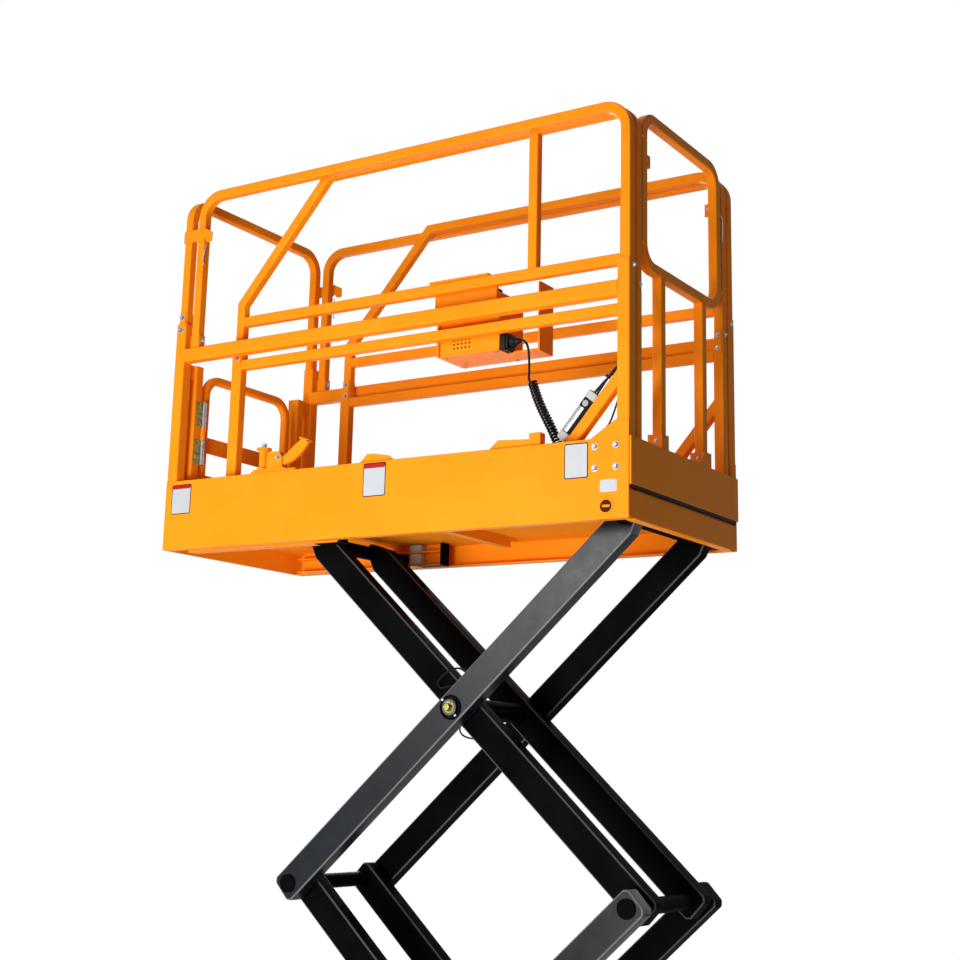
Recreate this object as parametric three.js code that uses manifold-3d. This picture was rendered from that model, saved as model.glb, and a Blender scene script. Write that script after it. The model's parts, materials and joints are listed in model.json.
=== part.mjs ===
// A self-propelled scissor lift with a railed work platform, a sliding
// extension deck and a two-level scissor stack. Millimetres, +X to the front,
// +Y to the far side, +Z up, floor at z = 0.
import * as THREE from 'three';
import { mergeVertices } from 'three/addons/utils/BufferGeometryUtils.js';
import Module from 'manifold-3d';

const wasm = await Module();
wasm.setup();

// ---------------------------------------------------------------- clearances
const SEAT = 0.3;            // gap between two neighbours that sit together
const RUN = 0.6;             // radial gap of a pin in its bore
const CLEAR = 6;             // room between pieces that move past each other

// ------------------------------------------------------------------ platform
const PLATFORM_LENGTH = 1650;
const PLATFORM_WIDTH = 712;
const SKIRT_HEIGHT = 220;
const SKIRT_SHEET = 4;
const DECK_UNDERSIDE = 72;
const DECK_SHEET = 4;
const DECK_TOP = DECK_UNDERSIDE + DECK_SHEET;
const RAIL_TOP = 1188;
const POST = 40;             // square lower posts
const RAIL_TUBE = 30;        // square upper rail tube
const BEND = 85;             // outer bend radius of the upper rails
const WIDE_RAIL_TOP = 659;
const WIDE_RAIL_DEPTH = 44;
const WIDE_RAIL_LOW = WIDE_RAIL_TOP - WIDE_RAIL_DEPTH;
const CORNER_POST_TOP = WIDE_RAIL_TOP + 86;
const FRONT_POST_TOP = WIDE_RAIL_TOP + 59;

// ----------------------------------------------------------------- extension
const EXT_INSET = 50;        // extension frame inside the platform's frame
const EXT_TUBE = 32;
const EXT_REAR = 202;
const EXT_HINGE = 640;       // where the upper frames fold on the lower ones
const EXT_TOP = RAIL_TOP + 4;

// -------------------------------------------------------------- scissor arms
const degrees = (value) => value * Math.PI / 180;
const PIN_PITCH = 1500;
const REST_ANGLE = degrees(42.6);
const STOWED_ANGLE = degrees(4.5);
const RAISED_ANGLE = degrees(50.1);
const ARM_HEIGHT = 86;
const OUTER_ARM = { inside: 198, outside: 250 };
const INNER_ARM = { inside: 126, outside: 178 };
const PIN_RADIUS = 17;
const ROLLER_RADIUS = 19;

// ------------------------------------------------------------------- chassis
const CHASSIS_HALF_LENGTH = 845;
const CHASSIS_HALF_WIDTH = 380;
const CHASSIS_DECK_TOP = 320;
const CHASSIS_DECK_SHEET = 8;
const CHASSIS_DECK_LOW = CHASSIS_DECK_TOP - CHASSIS_DECK_SHEET;
const END_PLATE = 16;
const DOOR_SHEET = 8;
const SPINE_HALF_WIDTH = 150;
const SPINE_LOW = 95;
const WHEEL_RADIUS = 150;
const WHEEL_WIDTH = 96;
const AXLE_X = CHASSIS_HALF_LENGTH - WHEEL_RADIUS - 85;
const WHEEL_Y = CHASSIS_HALF_WIDTH - 2 - WHEEL_WIDTH / 2;
const KINGPIN_Y = WHEEL_Y - WHEEL_WIDTH / 2 - 36;
const TRACK_INSIDE = OUTER_ARM.outside + 7;
const TRACK_WEB = TRACK_INSIDE + 43;
const FRONT_PIN_X = CHASSIS_HALF_LENGTH - 79;
const CYL_BASE = { x: FRONT_PIN_X - 666, z: CHASSIS_DECK_TOP + 60 };
const CYL_PIN = 12;

// Pins of the scissor stack: the front ones stay over each other.
const LOW_PIN_Z = CHASSIS_DECK_TOP + 52;
const PIN_ABOVE_SKIRT = 22;
const LEVEL_RISE = PIN_PITCH * Math.sin(REST_ANGLE);
const REAR_PIN_X = FRONT_PIN_X - PIN_PITCH * Math.cos(REST_ANGLE);
const STOWED_PIN_X = FRONT_PIN_X - PIN_PITCH * Math.cos(STOWED_ANGLE);
const RAISED_PIN_X = FRONT_PIN_X - PIN_PITCH * Math.cos(RAISED_ANGLE);
const MID_PIN_Z = LOW_PIN_Z + LEVEL_RISE;
const TOP_PIN_Z = LOW_PIN_Z + 2 * LEVEL_RISE;
const PLATFORM_BASE = TOP_PIN_Z - PIN_ABOVE_SKIRT;

// ------------------------------------------------------------------- finish
const paint = {
  orange: [0xf28a1c, 0.45, 0.1],
  black: [0x22262b, 0.5, 0.2],
  zinc: [0xb9bec2, 0.35, 0.8],
  steel: [0x8b9196, 0.4, 0.7],
  chrome: [0xdfe3e6, 0.12, 1.0],
  tyre: [0x3b3c3e, 0.9, 0.0],
  plastic: [0x161719, 0.6, 0.0],
  clear: [0xd9e4ea, 0.2, 0.0],
};

const model = new THREE.Group();
model.name = 'scissor_lift';

function put(name, finish, geometry) {
  const [color, roughness, metalness] = paint[finish];
  const material = new THREE.MeshStandardMaterial({ color, roughness, metalness });
  material.name = finish;
  const mesh = new THREE.Mesh(geometry, material);
  mesh.name = name;
  model.add(mesh);
  return mesh;
}

// ------------------------------------------------------------------- solids
function box(x, y, z) {
  const g = new THREE.BoxGeometry(x[1] - x[0], y[1] - y[0], z[1] - z[0]);
  g.translate((x[0] + x[1]) / 2, (y[0] + y[1]) / 2, (z[0] + z[1]) / 2);
  return g;
}

function shapeOf(points, holes = []) {
  const shape = new THREE.Shape(points.map(([a, b]) => new THREE.Vector2(a, b)));
  for (const hole of holes) {
    shape.holes.push(new THREE.Path(hole.map(([a, b]) => new THREE.Vector2(a, b))));
  }
  return shape;
}

// A flat outline in X and Z, thick in Y.
function slabXZ(points, y, holes = []) {
  const g = new THREE.ExtrudeGeometry(shapeOf(points, holes), { depth: y[1] - y[0], bevelEnabled: false });
  g.rotateX(Math.PI / 2);
  g.translate(0, y[1], 0);
  return g;
}

// A flat outline in Y and Z, thick in X.
function slabYZ(points, x, holes = []) {
  const g = new THREE.ExtrudeGeometry(shapeOf(points, holes), { depth: x[1] - x[0], bevelEnabled: false });
  const turn = new THREE.Matrix4().makeBasis(
    new THREE.Vector3(0, 1, 0), new THREE.Vector3(0, 0, 1), new THREE.Vector3(1, 0, 0));
  g.applyMatrix4(turn);
  g.translate(x[0], 0, 0);
  return g;
}

// A flat outline in X and Y, thick in Z.
function slabXY(points, z, holes = []) {
  const g = new THREE.ExtrudeGeometry(shapeOf(points, holes), { depth: z[1] - z[0], bevelEnabled: false });
  g.translate(0, 0, z[0]);
  return g;
}

function circle(cx, cy, radius, count = 20) {
  const points = [];
  for (let i = 0; i < count; i += 1) {
    const a = 2 * Math.PI * i / count;
    points.push([cx + radius * Math.cos(a), cy + radius * Math.sin(a)]);
  }
  return points;
}

// A rounded rectangle; radii are given for the corners in the order
// low-left, low-right, top-right, top-left.
function rounded(x, z, radii, count = 5) {
  const corners = [
    { c: [x[0], z[0]], s: [1, 1], a: Math.PI },
    { c: [x[1], z[0]], s: [-1, 1], a: 1.5 * Math.PI },
    { c: [x[1], z[1]], s: [-1, -1], a: 0 },
    { c: [x[0], z[1]], s: [1, -1], a: 0.5 * Math.PI },
  ];
  const points = [];
  corners.forEach(({ c, s, a }, i) => {
    const r = radii[i];
    if (r <= 0) {
      points.push([c[0], c[1]]);
      return;
    }
    for (let k = 0; k <= count; k += 1) {
      const t = a + 0.5 * Math.PI * k / count;
      points.push([c[0] + s[0] * r + r * Math.cos(t), c[1] + s[1] * r + r * Math.sin(t)]);
    }
  });
  return points;
}

// An upside-down U of square tube: outside width and height, tube size, bend.
function hoop(x, z, tube, bend, count = 5) {
  const outer = rounded(x, z, [0, 0, bend, bend], count);
  const within = [0, 0, bend - tube, bend - tube];
  const inner = rounded([x[0] + tube, x[1] - tube], [z[0], z[1] - tube], within, count);
  // Walk the outside from the low-left round to the low-right, then back inside.
  const outside = [outer[0], ...outer.slice(2).reverse(), outer[1]];
  const inside = [inner[1], ...inner.slice(2), inner[0]];
  return [...outside, ...inside].reverse();
}

// A turned body on the Y axis from a list of [from, to, radius] steps.
function turned(steps, count = 20) {
  const profile = [new THREE.Vector2(0, steps[0][0])];
  for (const [from, to, radius] of steps) {
    profile.push(new THREE.Vector2(radius, from));
    profile.push(new THREE.Vector2(radius, to));
  }
  profile.push(new THREE.Vector2(0, steps[steps.length - 1][1]));
  return new THREE.LatheGeometry(profile, count);
}

// The same, given for the +Y half only and mirrored to the -Y half.
function turnedBoth(half, count = 16) {
  const low = half.slice(1).map(([from, to, radius]) => [-to, -from, radius]).reverse();
  const [, to, radius] = half[0];
  return turned([...low, [-to, to, radius], ...half.slice(1)], count);
}

function cylinder(axis, radius, from, to, at, count = 20) {
  const g = new THREE.CylinderGeometry(radius, radius, to - from, count);
  g.translate(0, (from + to) / 2, 0);
  if (axis === 'x') {
    g.rotateZ(-Math.PI / 2);
    g.translate(0, at[0], at[1]);
  } else if (axis === 'y') {
    g.translate(at[0], 0, at[1]);
  } else {
    g.rotateX(Math.PI / 2);
    g.translate(at[0], at[1], 0);
  }
  return g;
}

// ----------------------------------------------------------------- booleans
function toSolid(geometry) {
  const g = geometry.clone();
  g.deleteAttribute('normal');
  g.deleteAttribute('uv');
  const merged = mergeVertices(g, 1e-4);
  const mesh = new wasm.Mesh({
    numProp: 3,
    vertProperties: Float32Array.from(merged.attributes.position.array),
    triVerts: Uint32Array.from(merged.index.array),
  });
  return new wasm.Manifold(mesh);
}

function toGeometry(solid) {
  const mesh = solid.getMesh();
  const g = new THREE.BufferGeometry();
  g.setAttribute('position', new THREE.BufferAttribute(Float32Array.from(mesh.vertProperties), 3));
  g.setIndex(new THREE.BufferAttribute(Uint32Array.from(mesh.triVerts), 1));
  g.computeVertexNormals();
  return g;
}

function join(parts, cuts = []) {
  let solid = toSolid(parts[0]);
  for (const part of parts.slice(1)) {
    solid = solid.add(toSolid(part));
  }
  for (const cut of cuts) {
    solid = solid.subtract(toSolid(cut));
  }
  return toGeometry(solid);
}

// Platform coordinates: x from its rear end, z from the bottom of its skirt.
const px = (x) => x - PLATFORM_LENGTH / 2;
const pz = (z) => PLATFORM_BASE + z;
const pxs = (pair) => pair.map(px);
const pzs = (pair) => pair.map(pz);
const HALF = PLATFORM_WIDTH / 2;

// Mirrors a pair of y values to the near (-1) or the far (+1) side.
const sideY = (side, y) => (side > 0 ? [y[0], y[1]] : [-y[1], -y[0]]);
const SIDES = [{ name: 'near', side: -1 }, { name: 'far', side: 1 }];

// =================================================================== chassis
const END_LOW = 110;         // underside of the two end plates
const KINGPIN_RADIUS = 20;
const TIE_DOWN_RADIUS = 22;
const AXLE_RADIUS = 15;
const CHASSIS_LUG = [INNER_ARM.outside + 6, INNER_ARM.outside + 16];
const STEP = { half: 150, rise: 52, low: [140, 220] };

function endPlate(x) {
  const half = CHASSIS_HALF_WIDTH - DOOR_SHEET;
  return slabYZ(rounded([-half, half], [END_LOW, CHASSIS_DECK_TOP], [30, 30, 12, 12]), x);
}

function chassisFrame() {
  const L = CHASSIS_HALF_LENGTH;
  const deckHalf = TRACK_WEB + 4;
  const parts = [
    box([-L, L], [-deckHalf, deckHalf], [CHASSIS_DECK_LOW, CHASSIS_DECK_TOP]),
    endPlate([L - END_PLATE, L]),
    endPlate([-L, -L + END_PLATE]),
  ];
  const cuts = [];
  for (const { side } of SIDES) {
    // Bearing sleeve of the kingpin.
    parts.push(cylinder('z', 30, 246, CHASSIS_DECK_LOW + 1, [AXLE_X, side * KINGPIN_Y]));
    cuts.push(cylinder('z', KINGPIN_RADIUS + RUN, 240, CHASSIS_DECK_TOP - 4, [AXLE_X, side * KINGPIN_Y]));
    // Lug that carries the front pin of the lower inner arm.
    const lug = [[-44, -CHASSIS_DECK_SHEET / 2], [44, -CHASSIS_DECK_SHEET / 2], [34, 64], [16, 84], [-16, 84],
      [-34, 64]].map(([a, b]) => [FRONT_PIN_X + a, CHASSIS_DECK_TOP + b]);
    parts.push(slabXZ(lug, sideY(side, CHASSIS_LUG)));
    cuts.push(cylinder('y', PIN_RADIUS + RUN, side > 0 ? 180 : -200, side > 0 ? 200 : -180,
      [FRONT_PIN_X, LOW_PIN_Z]));
    // Tie-down holes in the end plates.
    for (const end of [-1, 1]) {
      const [from, to] = sideY(end, [L - 30, L + 5]);
      cuts.push(cylinder('x', TIE_DOWN_RADIUS, from, to, [side * (CHASSIS_HALF_WIDTH - 60), END_LOW + 60]));
    }
  }
  // Clevis and pin that carry the foot of the lift cylinder.
  const ear = [[-40, CHASSIS_DECK_TOP - 2], [40, CHASSIS_DECK_TOP - 2], [22, CYL_BASE.z + 20],
    [-22, CYL_BASE.z + 20]].map(([a, b]) => [CYL_BASE.x + a, b]);
  parts.push(slabXZ(ear, [-46, -36]), slabXZ(ear, [36, 46]));
  parts.push(cylinder('y', CYL_PIN, -48, 48, [CYL_BASE.x, CYL_BASE.z]));
  // Step openings in the rear end plate.
  for (const z of STEP.low) {
    cuts.push(box([-L - 5, -L + END_PLATE + 5], [-STEP.half, STEP.half], [z, z + STEP.rise]));
  }
  return join(parts, cuts);
}

// Centre box of the chassis with a raised tail and nose, and the rear axle.
function chassisSpine() {
  const w = SPINE_HALF_WIDTH;
  const rear = -CHASSIS_HALF_LENGTH + END_PLATE + 69;
  const front = AXLE_X - WHEEL_RADIUS + 10;
  const outline = [[rear + 40, SPINE_LOW], [front - 60, SPINE_LOW], [front, SPINE_LOW + 60],
    [front, CHASSIS_DECK_LOW - SEAT], [rear, CHASSIS_DECK_LOW - SEAT], [rear, SPINE_LOW + 40]];
  const parts = [slabXZ(outline, [-w, w])];
  const hub = WHEEL_Y - 58;
  const tip = WHEEL_Y + 20;
  for (const side of [-1, 1]) {
    const span = (from, to) => (side > 0 ? [from, to] : [-to, -from]);
    parts.push(cylinder('y', 58, ...span(w - 5, hub), [-AXLE_X, WHEEL_RADIUS]));
    parts.push(cylinder('y', AXLE_RADIUS, ...span(hub - 12, tip), [-AXLE_X, WHEEL_RADIUS]));
  }
  return join(parts);
}

// A channel that opens toward the arms; its web reaches to the deck. A stop
// plate closes the end that `stop` gives.
function track(side, x, pinZ, rise, stop = null) {
  const inside = ROLLER_RADIUS + 1;
  const flange = 4;
  const y = sideY(side, [TRACK_INSIDE, TRACK_WEB]);
  const parts = [
    box(x, y, [pinZ - inside - flange, pinZ - inside]),
    box(x, y, [pinZ + inside, pinZ + inside + flange]),
    box(x, sideY(side, [TRACK_WEB - 5, TRACK_WEB]), rise),
  ];
  if (stop) {
    parts.push(box(stop, y, [pinZ - inside - flange, rise[1]]));
  }
  return join(parts);
}

const CABINET_X = [-(AXLE_X - WHEEL_RADIUS - 30), AXLE_X - WHEEL_RADIUS - 65];
const CABINET_LOW = SPINE_LOW;
const CABINET_TOP = CHASSIS_DECK_LOW - 6;
const CABINET_WALL = 5;
const CABINET_FLOOR = CABINET_LOW + CABINET_WALL;
const CABINET_FACE = CHASSIS_HALF_WIDTH - DOOR_SHEET;
const GUARD = { y: [CABINET_FACE - 32, CABINET_FACE - 4], z: [40, 60], inset: 10, hanger: 30 };

function cabinet(side) {
  const x = CABINET_X;
  const z = [CABINET_LOW, CABINET_TOP];
  const wall = CABINET_WALL;
  const y = sideY(side, [SPINE_HALF_WIDTH + SEAT, CABINET_FACE]);
  const inside = sideY(side, [SPINE_HALF_WIDTH + wall, CABINET_FACE + 20]);
  const guardX = [x[0] + GUARD.inset, x[1] - GUARD.inset];
  const hangerY = sideY(side, [GUARD.y[0] + 6, GUARD.y[1] - 6]);
  const parts = [box(x, y, z), box(guardX, sideY(side, GUARD.y), GUARD.z)];
  for (const at of [guardX[0] + 40, guardX[1] - 40 - GUARD.hanger]) {
    parts.push(box([at, at + GUARD.hanger], hangerY, [GUARD.z[1] - 2, CABINET_LOW + 2]));
  }
  return join(parts, [box([x[0] + wall, x[1] - wall], inside, [z[0] + wall, z[1] - wall])]);
}

function door(side) {
  const y = sideY(side, [CABINET_FACE + SEAT, CHASSIS_HALF_WIDTH]);
  return slabXZ(rounded(CABINET_X, [CABINET_LOW + 2, CABINET_TOP - 2], [16, 16, 16, 16]), y);
}

// A heavy block on a cabinet's floor.
function ballast(side) {
  const y = sideY(side, [SPINE_HALF_WIDTH + 10, CABINET_FACE - 7]);
  return box([CABINET_X[0] + 10, CABINET_X[1] - 10], y, [CABINET_FLOOR + SEAT, CABINET_TOP - 20]);
}

put('chassis_frame', 'black', chassisFrame());
put('chassis_spine', 'black', chassisSpine());
for (const { name, side } of SIDES) {
  put(`chassis_track_${name}`, 'black', track(side, [STOWED_PIN_X - 70, RAISED_PIN_X + 70], LOW_PIN_Z,
    [CHASSIS_DECK_TOP + SEAT, LOW_PIN_Z + ROLLER_RADIUS + 5]));
  put(`cabinet_${name}`, 'orange', cabinet(side));
  put(`cabinet_door_${name}`, 'orange', door(side));
}
put('battery_block', 'plastic', ballast(-1));
put('power_unit_block', 'steel', ballast(1));

// ---------------------------------------------------------------- steering
const TIE = { x: AXLE_X - 110, z: CHASSIS_DECK_LOW - 97, radius: 10 };
put('steering_cylinder', 'steel', join([
  cylinder('y', 22, -120, 120, [TIE.x, TIE.z]),
  cylinder('y', TIE.radius, -(KINGPIN_Y - 84), KINGPIN_Y - 84, [TIE.x, TIE.z]),
  box([TIE.x - 10, TIE.x + 10], [-60, -40], [TIE.z, CHASSIS_DECK_LOW - SEAT]),
  box([TIE.x - 10, TIE.x + 10], [40, 60], [TIE.z, CHASSIS_DECK_LOW - SEAT]),
]));

function knuckle(side) {
  const at = [AXLE_X, side * KINGPIN_Y];
  const tip = WHEEL_Y + 20;
  const armTop = TIE.z - TIE.radius - 3;
  const reach = AXLE_X - TIE.x;
  // Steering arm toward the tie cylinder, cranked inward.
  const outline = [[0, -18], [0, 18], [-reach + 6, -10], [-reach - 8, -28], [-reach + 6, -46]];
  const steeringArm = slabXY(outline.map(([a, b]) => [AXLE_X + a, side * (KINGPIN_Y - 30 + b)]),
    [armTop - 14, armTop]);
  return join([
    cylinder('z', KINGPIN_RADIUS, 115, 305, at),
    cylinder('z', 29, 118, 238, at),
    cylinder('y', AXLE_RADIUS, side > 0 ? KINGPIN_Y : -tip, side > 0 ? tip : -KINGPIN_Y,
      [AXLE_X, WHEEL_RADIUS]),
    steeringArm,
  ]);
}
for (const { name, side } of SIDES) {
  put(`steering_knuckle_${name}`, 'black', knuckle(side));
}

// ------------------------------------------------------------------ wheels
const WHEELS = [
  { name: 'front_near', x: AXLE_X, side: -1 },
  { name: 'front_far', x: AXLE_X, side: 1 },
  { name: 'rear_near', x: -AXLE_X, side: -1 },
  { name: 'rear_far', x: -AXLE_X, side: 1 },
];
const HUB_BORE = AXLE_RADIUS + RUN;
const RIM_RADIUS = 98;
const WHEEL_FACETS = 28;

function ringProfile(points) {
  const path = points.map(([r, y]) => new THREE.Vector2(r, y));
  path.push(path[0].clone());
  return path;
}

function tyre() {
  const w = WHEEL_WIDTH / 2;
  const profile = ringProfile([
    [RIM_RADIUS + SEAT, -w + 6], [RIM_RADIUS + 12, -w], [WHEEL_RADIUS - 16, -w],
    [WHEEL_RADIUS - 4, -w + 7], [WHEEL_RADIUS, -w + 18],
    [WHEEL_RADIUS, w - 18], [WHEEL_RADIUS - 4, w - 7], [WHEEL_RADIUS - 16, w],
    [RIM_RADIUS + 12, w], [RIM_RADIUS + SEAT, w - 6],
  ]);
  return new THREE.LatheGeometry(profile, WHEEL_FACETS);
}

function rim(side) {
  // Closed disc near the inside, open dish with a hub on the outside.
  const s = side;
  const points = [
    [HUB_BORE, -30], [RIM_RADIUS - 8, -30], [RIM_RADIUS - 8, -40], [RIM_RADIUS, -40],
    [RIM_RADIUS, 42], [RIM_RADIUS - 7, 42], [RIM_RADIUS - 12, 8],
    [46, 2], [40, 18], [HUB_BORE, 18],
  ];
  const mapped = points.map(([r, y]) => [r, s * y]);
  return new THREE.LatheGeometry(ringProfile(s > 0 ? mapped : mapped.reverse()), WHEEL_FACETS);
}

for (const { name, x, side } of WHEELS) {
  const t = tyre();
  t.translate(x, side * WHEEL_Y, WHEEL_RADIUS);
  put(`tyre_${name}`, 'tyre', t);
  const r = rim(side);
  r.translate(x, side * WHEEL_Y, WHEEL_RADIUS);
  put(`rim_${name}`, 'steel', r);
}

// ============================================================== scissor arms
// Outline of one arm along its own axis from pin to pin, with a nose at an end
// that folds into the chassis or the platform and a square cut elsewhere.
function armOutline(startNose, endNose) {
  const h = ARM_HEIGHT / 2;
  const tip = (nose) => (nose
    ? { reach: 44, blunt: 12, back: 26 }
    : { reach: 36, blunt: h - 12, back: -24 });
  const a = tip(startNose);
  const b = tip(endNose);
  return [
    [-a.reach, -a.blunt], [a.back, -h],
    [PIN_PITCH - b.back, -h], [PIN_PITCH + b.reach, -b.blunt],
    [PIN_PITCH + b.reach, b.blunt], [PIN_PITCH - b.back, h],
    [a.back, h], [-a.reach, a.blunt],
  ];
}

// An arm is placed by its start pin and its angle; bores are at the given
// distances along it.
function arm({ x, z, angle, y, noses, bores }) {
  const holes = bores.map((at) => circle(at, 0, PIN_RADIUS + RUN));
  const g = slabXZ(armOutline(...noses), y, holes);
  g.rotateY(-angle);
  g.translate(x, 0, z);
  return g;
}

function shaft(half, x, z) {
  const g = turnedBoth(half);
  g.translate(x, 0, z);
  return g;
}

const TUBE = 22;             // radius of a cross tube between two arms
const HEAD = 26;
const inner = INNER_ARM;
const outer = OUTER_ARM;
const CENTRE_SHAFT = [
  [0, inner.inside - SEAT, 30], [inner.inside - SEAT, inner.outside + SEAT, PIN_RADIUS],
  [inner.outside + SEAT, outer.inside - SEAT, HEAD],
  [outer.inside - SEAT, outer.outside + SEAT, PIN_RADIUS],
  [outer.outside + SEAT, outer.outside + 8, HEAD],
];
const CHASSIS_FRONT_SHAFT = [
  [0, inner.inside - SEAT, TUBE], [inner.inside - SEAT, CHASSIS_LUG[1] + SEAT, PIN_RADIUS],
  [CHASSIS_LUG[1] + SEAT, CHASSIS_LUG[1] + 7, HEAD],
];
const INNER_TO_OUTER_SHAFT = [
  [0, inner.inside - SEAT, TUBE], [inner.inside - SEAT, inner.outside + SEAT, PIN_RADIUS],
  [inner.outside + SEAT, outer.inside - SEAT, HEAD],
  [outer.inside - SEAT, outer.outside + SEAT, PIN_RADIUS],
  [outer.outside + SEAT, outer.outside + 7, HEAD],
];
const ROLLER_FROM = TRACK_INSIDE + 5;
const ROLLER_TO = TRACK_WEB - 8;
const PLATFORM_LUG = [OUTER_ARM.outside + 6, OUTER_ARM.outside + 14];
const OUTER_ROLLER_SHAFT = [
  [0, outer.inside - SEAT, TUBE], [outer.inside - SEAT, ROLLER_FROM, PIN_RADIUS],
  [ROLLER_FROM, ROLLER_TO, ROLLER_RADIUS],
];
const INNER_ROLLER_SHAFT = [
  [0, inner.inside - SEAT, TUBE], [inner.inside - SEAT, ROLLER_FROM, PIN_RADIUS],
  [ROLLER_FROM, ROLLER_TO, ROLLER_RADIUS],
];
const PLATFORM_FRONT_SHAFT = [
  [0, outer.inside - SEAT, TUBE], [outer.inside - SEAT, PLATFORM_LUG[1] + SEAT, PIN_RADIUS],
  [PLATFORM_LUG[1] + SEAT, PLATFORM_LUG[1] + 7, HEAD],
];

// One row per arm pair: where it starts, its lean and the shafts that it carries.
// `bores` lists the distances along the arm where another body's pin runs in it.
const ARM_PAIRS = [
  {
    name: 'lower_inner_arm', y: inner, x: FRONT_PIN_X, z: LOW_PIN_Z, angle: Math.PI - REST_ANGLE,
    noses: [true, false], own: [0, PIN_PITCH / 2, PIN_PITCH], bores: [],
    shafts: [[CHASSIS_FRONT_SHAFT, 0], [CENTRE_SHAFT, PIN_PITCH / 2], [INNER_TO_OUTER_SHAFT, PIN_PITCH]],
  },
  {
    name: 'lower_outer_arm', y: outer, x: REAR_PIN_X, z: LOW_PIN_Z, angle: REST_ANGLE,
    noses: [true, false], own: [0, PIN_PITCH], bores: [PIN_PITCH / 2],
    shafts: [[OUTER_ROLLER_SHAFT, 0], [INNER_TO_OUTER_SHAFT, PIN_PITCH]],
  },
  {
    name: 'upper_inner_arm', y: inner, x: FRONT_PIN_X, z: MID_PIN_Z, angle: Math.PI - REST_ANGLE,
    noses: [false, true], own: [PIN_PITCH / 2, PIN_PITCH], bores: [0],
    shafts: [[CENTRE_SHAFT, PIN_PITCH / 2], [INNER_ROLLER_SHAFT, PIN_PITCH]],
  },
  {
    name: 'upper_outer_arm', y: outer, x: REAR_PIN_X, z: MID_PIN_Z, angle: REST_ANGLE,
    noses: [false, true], own: [PIN_PITCH], bores: [0, PIN_PITCH / 2],
    shafts: [[PLATFORM_FRONT_SHAFT, PIN_PITCH]],
  },
];

// Lever plates on the lower inner pair, pushed by the lift cylinder.
const ROD_EYE_HALF = 20;      // half the width of the eye at the rod's end
const LEVER = { along: 110, up: 110, brace: [66, 52], plate: [26, 38] };
function leverParts(pair) {
  const outline = [[-26, 0], [0, 26], [40, 16], [LEVER.along + 10, -LEVER.brace[1]],
    [LEVER.along + 24, -LEVER.up - 10], [LEVER.along, -LEVER.up - 26], [LEVER.along - 26, -LEVER.up - 6]];
  const place = (g) => {
    g.rotateY(-pair.angle);
    g.translate(pair.x, 0, pair.z);
    return g;
  };
  const plates = [-1, 1].map((s) => place(slabXZ(outline, sideY(s, LEVER.plate))));
  const brace = place(cylinder('y', 18, -inner.inside - 2, inner.inside - SEAT,
    [LEVER.brace[0], -LEVER.brace[1]]));
  const stubs = [-1, 1].map((s) => {
    const [from, to] = sideY(s, [ROD_EYE_HALF + SEAT, LEVER.plate[1] + 6]);
    return place(cylinder('y', CYL_PIN, from, to, [LEVER.along, -LEVER.up]));
  });
  return [...plates, brace, ...stubs];
}

for (const pair of ARM_PAIRS) {
  const thick = [pair.y.inside, pair.y.outside];
  const nearArm = arm({ ...pair, y: sideY(-1, thick) });
  const farArm = arm({ ...pair, y: sideY(1, thick), bores: [...pair.bores, ...pair.own] });
  const shafts = pair.shafts.map(([half, at]) => shaft(half,
    pair.x + at * Math.cos(pair.angle), pair.z + at * Math.sin(pair.angle)));
  const extra = pair.name === 'lower_inner_arm' ? leverParts(pair) : [];
  put(`${pair.name}_near_with_shafts`, 'black', join([nearArm, ...shafts, ...extra]));
  put(`${pair.name}_far`, 'black', farArm);
}

// --------------------------------------------------------------- lift cylinder
const CYL_EYE = LEVER;
const eyeX = FRONT_PIN_X - CYL_EYE.along * Math.cos(REST_ANGLE) + CYL_EYE.up * Math.sin(REST_ANGLE);
const eyeZ = LOW_PIN_Z + CYL_EYE.along * Math.sin(REST_ANGLE) + CYL_EYE.up * Math.cos(REST_ANGLE);
const cylAngle = Math.atan2(eyeZ - CYL_BASE.z, eyeX - CYL_BASE.x);
const cylLength = Math.hypot(eyeX - CYL_BASE.x, eyeZ - CYL_BASE.z);

// Bodies of revolution along the cylinder's own axis, from its base pin.
function alongCylinder(steps, count = 24) {
  const g = turned(steps, count);
  g.rotateZ(-Math.PI / 2);
  g.rotateY(-cylAngle);
  g.translate(CYL_BASE.x, 0, CYL_BASE.z);
  return g;
}
const BARREL = 32;
const ROD = 16;
const BARREL_END = 490;
put('lift_cylinder_barrel', 'steel', join([
  alongCylinder([[20, BARREL_END, BARREL]]),
  cylinder('y', 26, -24, 24, [CYL_BASE.x, CYL_BASE.z]),
], [
  cylinder('y', CYL_PIN + RUN, -40, 40, [CYL_BASE.x, CYL_BASE.z]),
  alongCylinder([[60, BARREL_END + 10, ROD + RUN]]),
]));
put('lift_cylinder_rod', 'chrome', join([
  alongCylinder([[320, cylLength - 10, ROD]]),
  cylinder('y', 24, -ROD_EYE_HALF, ROD_EYE_HALF, [eyeX, eyeZ]),
]));
// ================================================================== platform
const SKIRT_INNER = HALF - SKIRT_SHEET;

// Slide guides on the skirt's top flange: outlines in X and height.
const GUIDE_Y = [338, 346];
const GUIDES = [
  { outline: [[755, -2], [884, -2], [861, 16], [805, 26], [783, 26]], y: GUIDE_Y },
  { outline: [[1203, -2], [1373, -2], [1373, 37], [1336, 37], [1336, 20], [1235, 26]], y: GUIDE_Y },
  { outline: [[1341, -2], [1373, -2], [1373, 37], [1341, 37]], y: [318, GUIDE_Y[0] + 1] },
];

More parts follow.
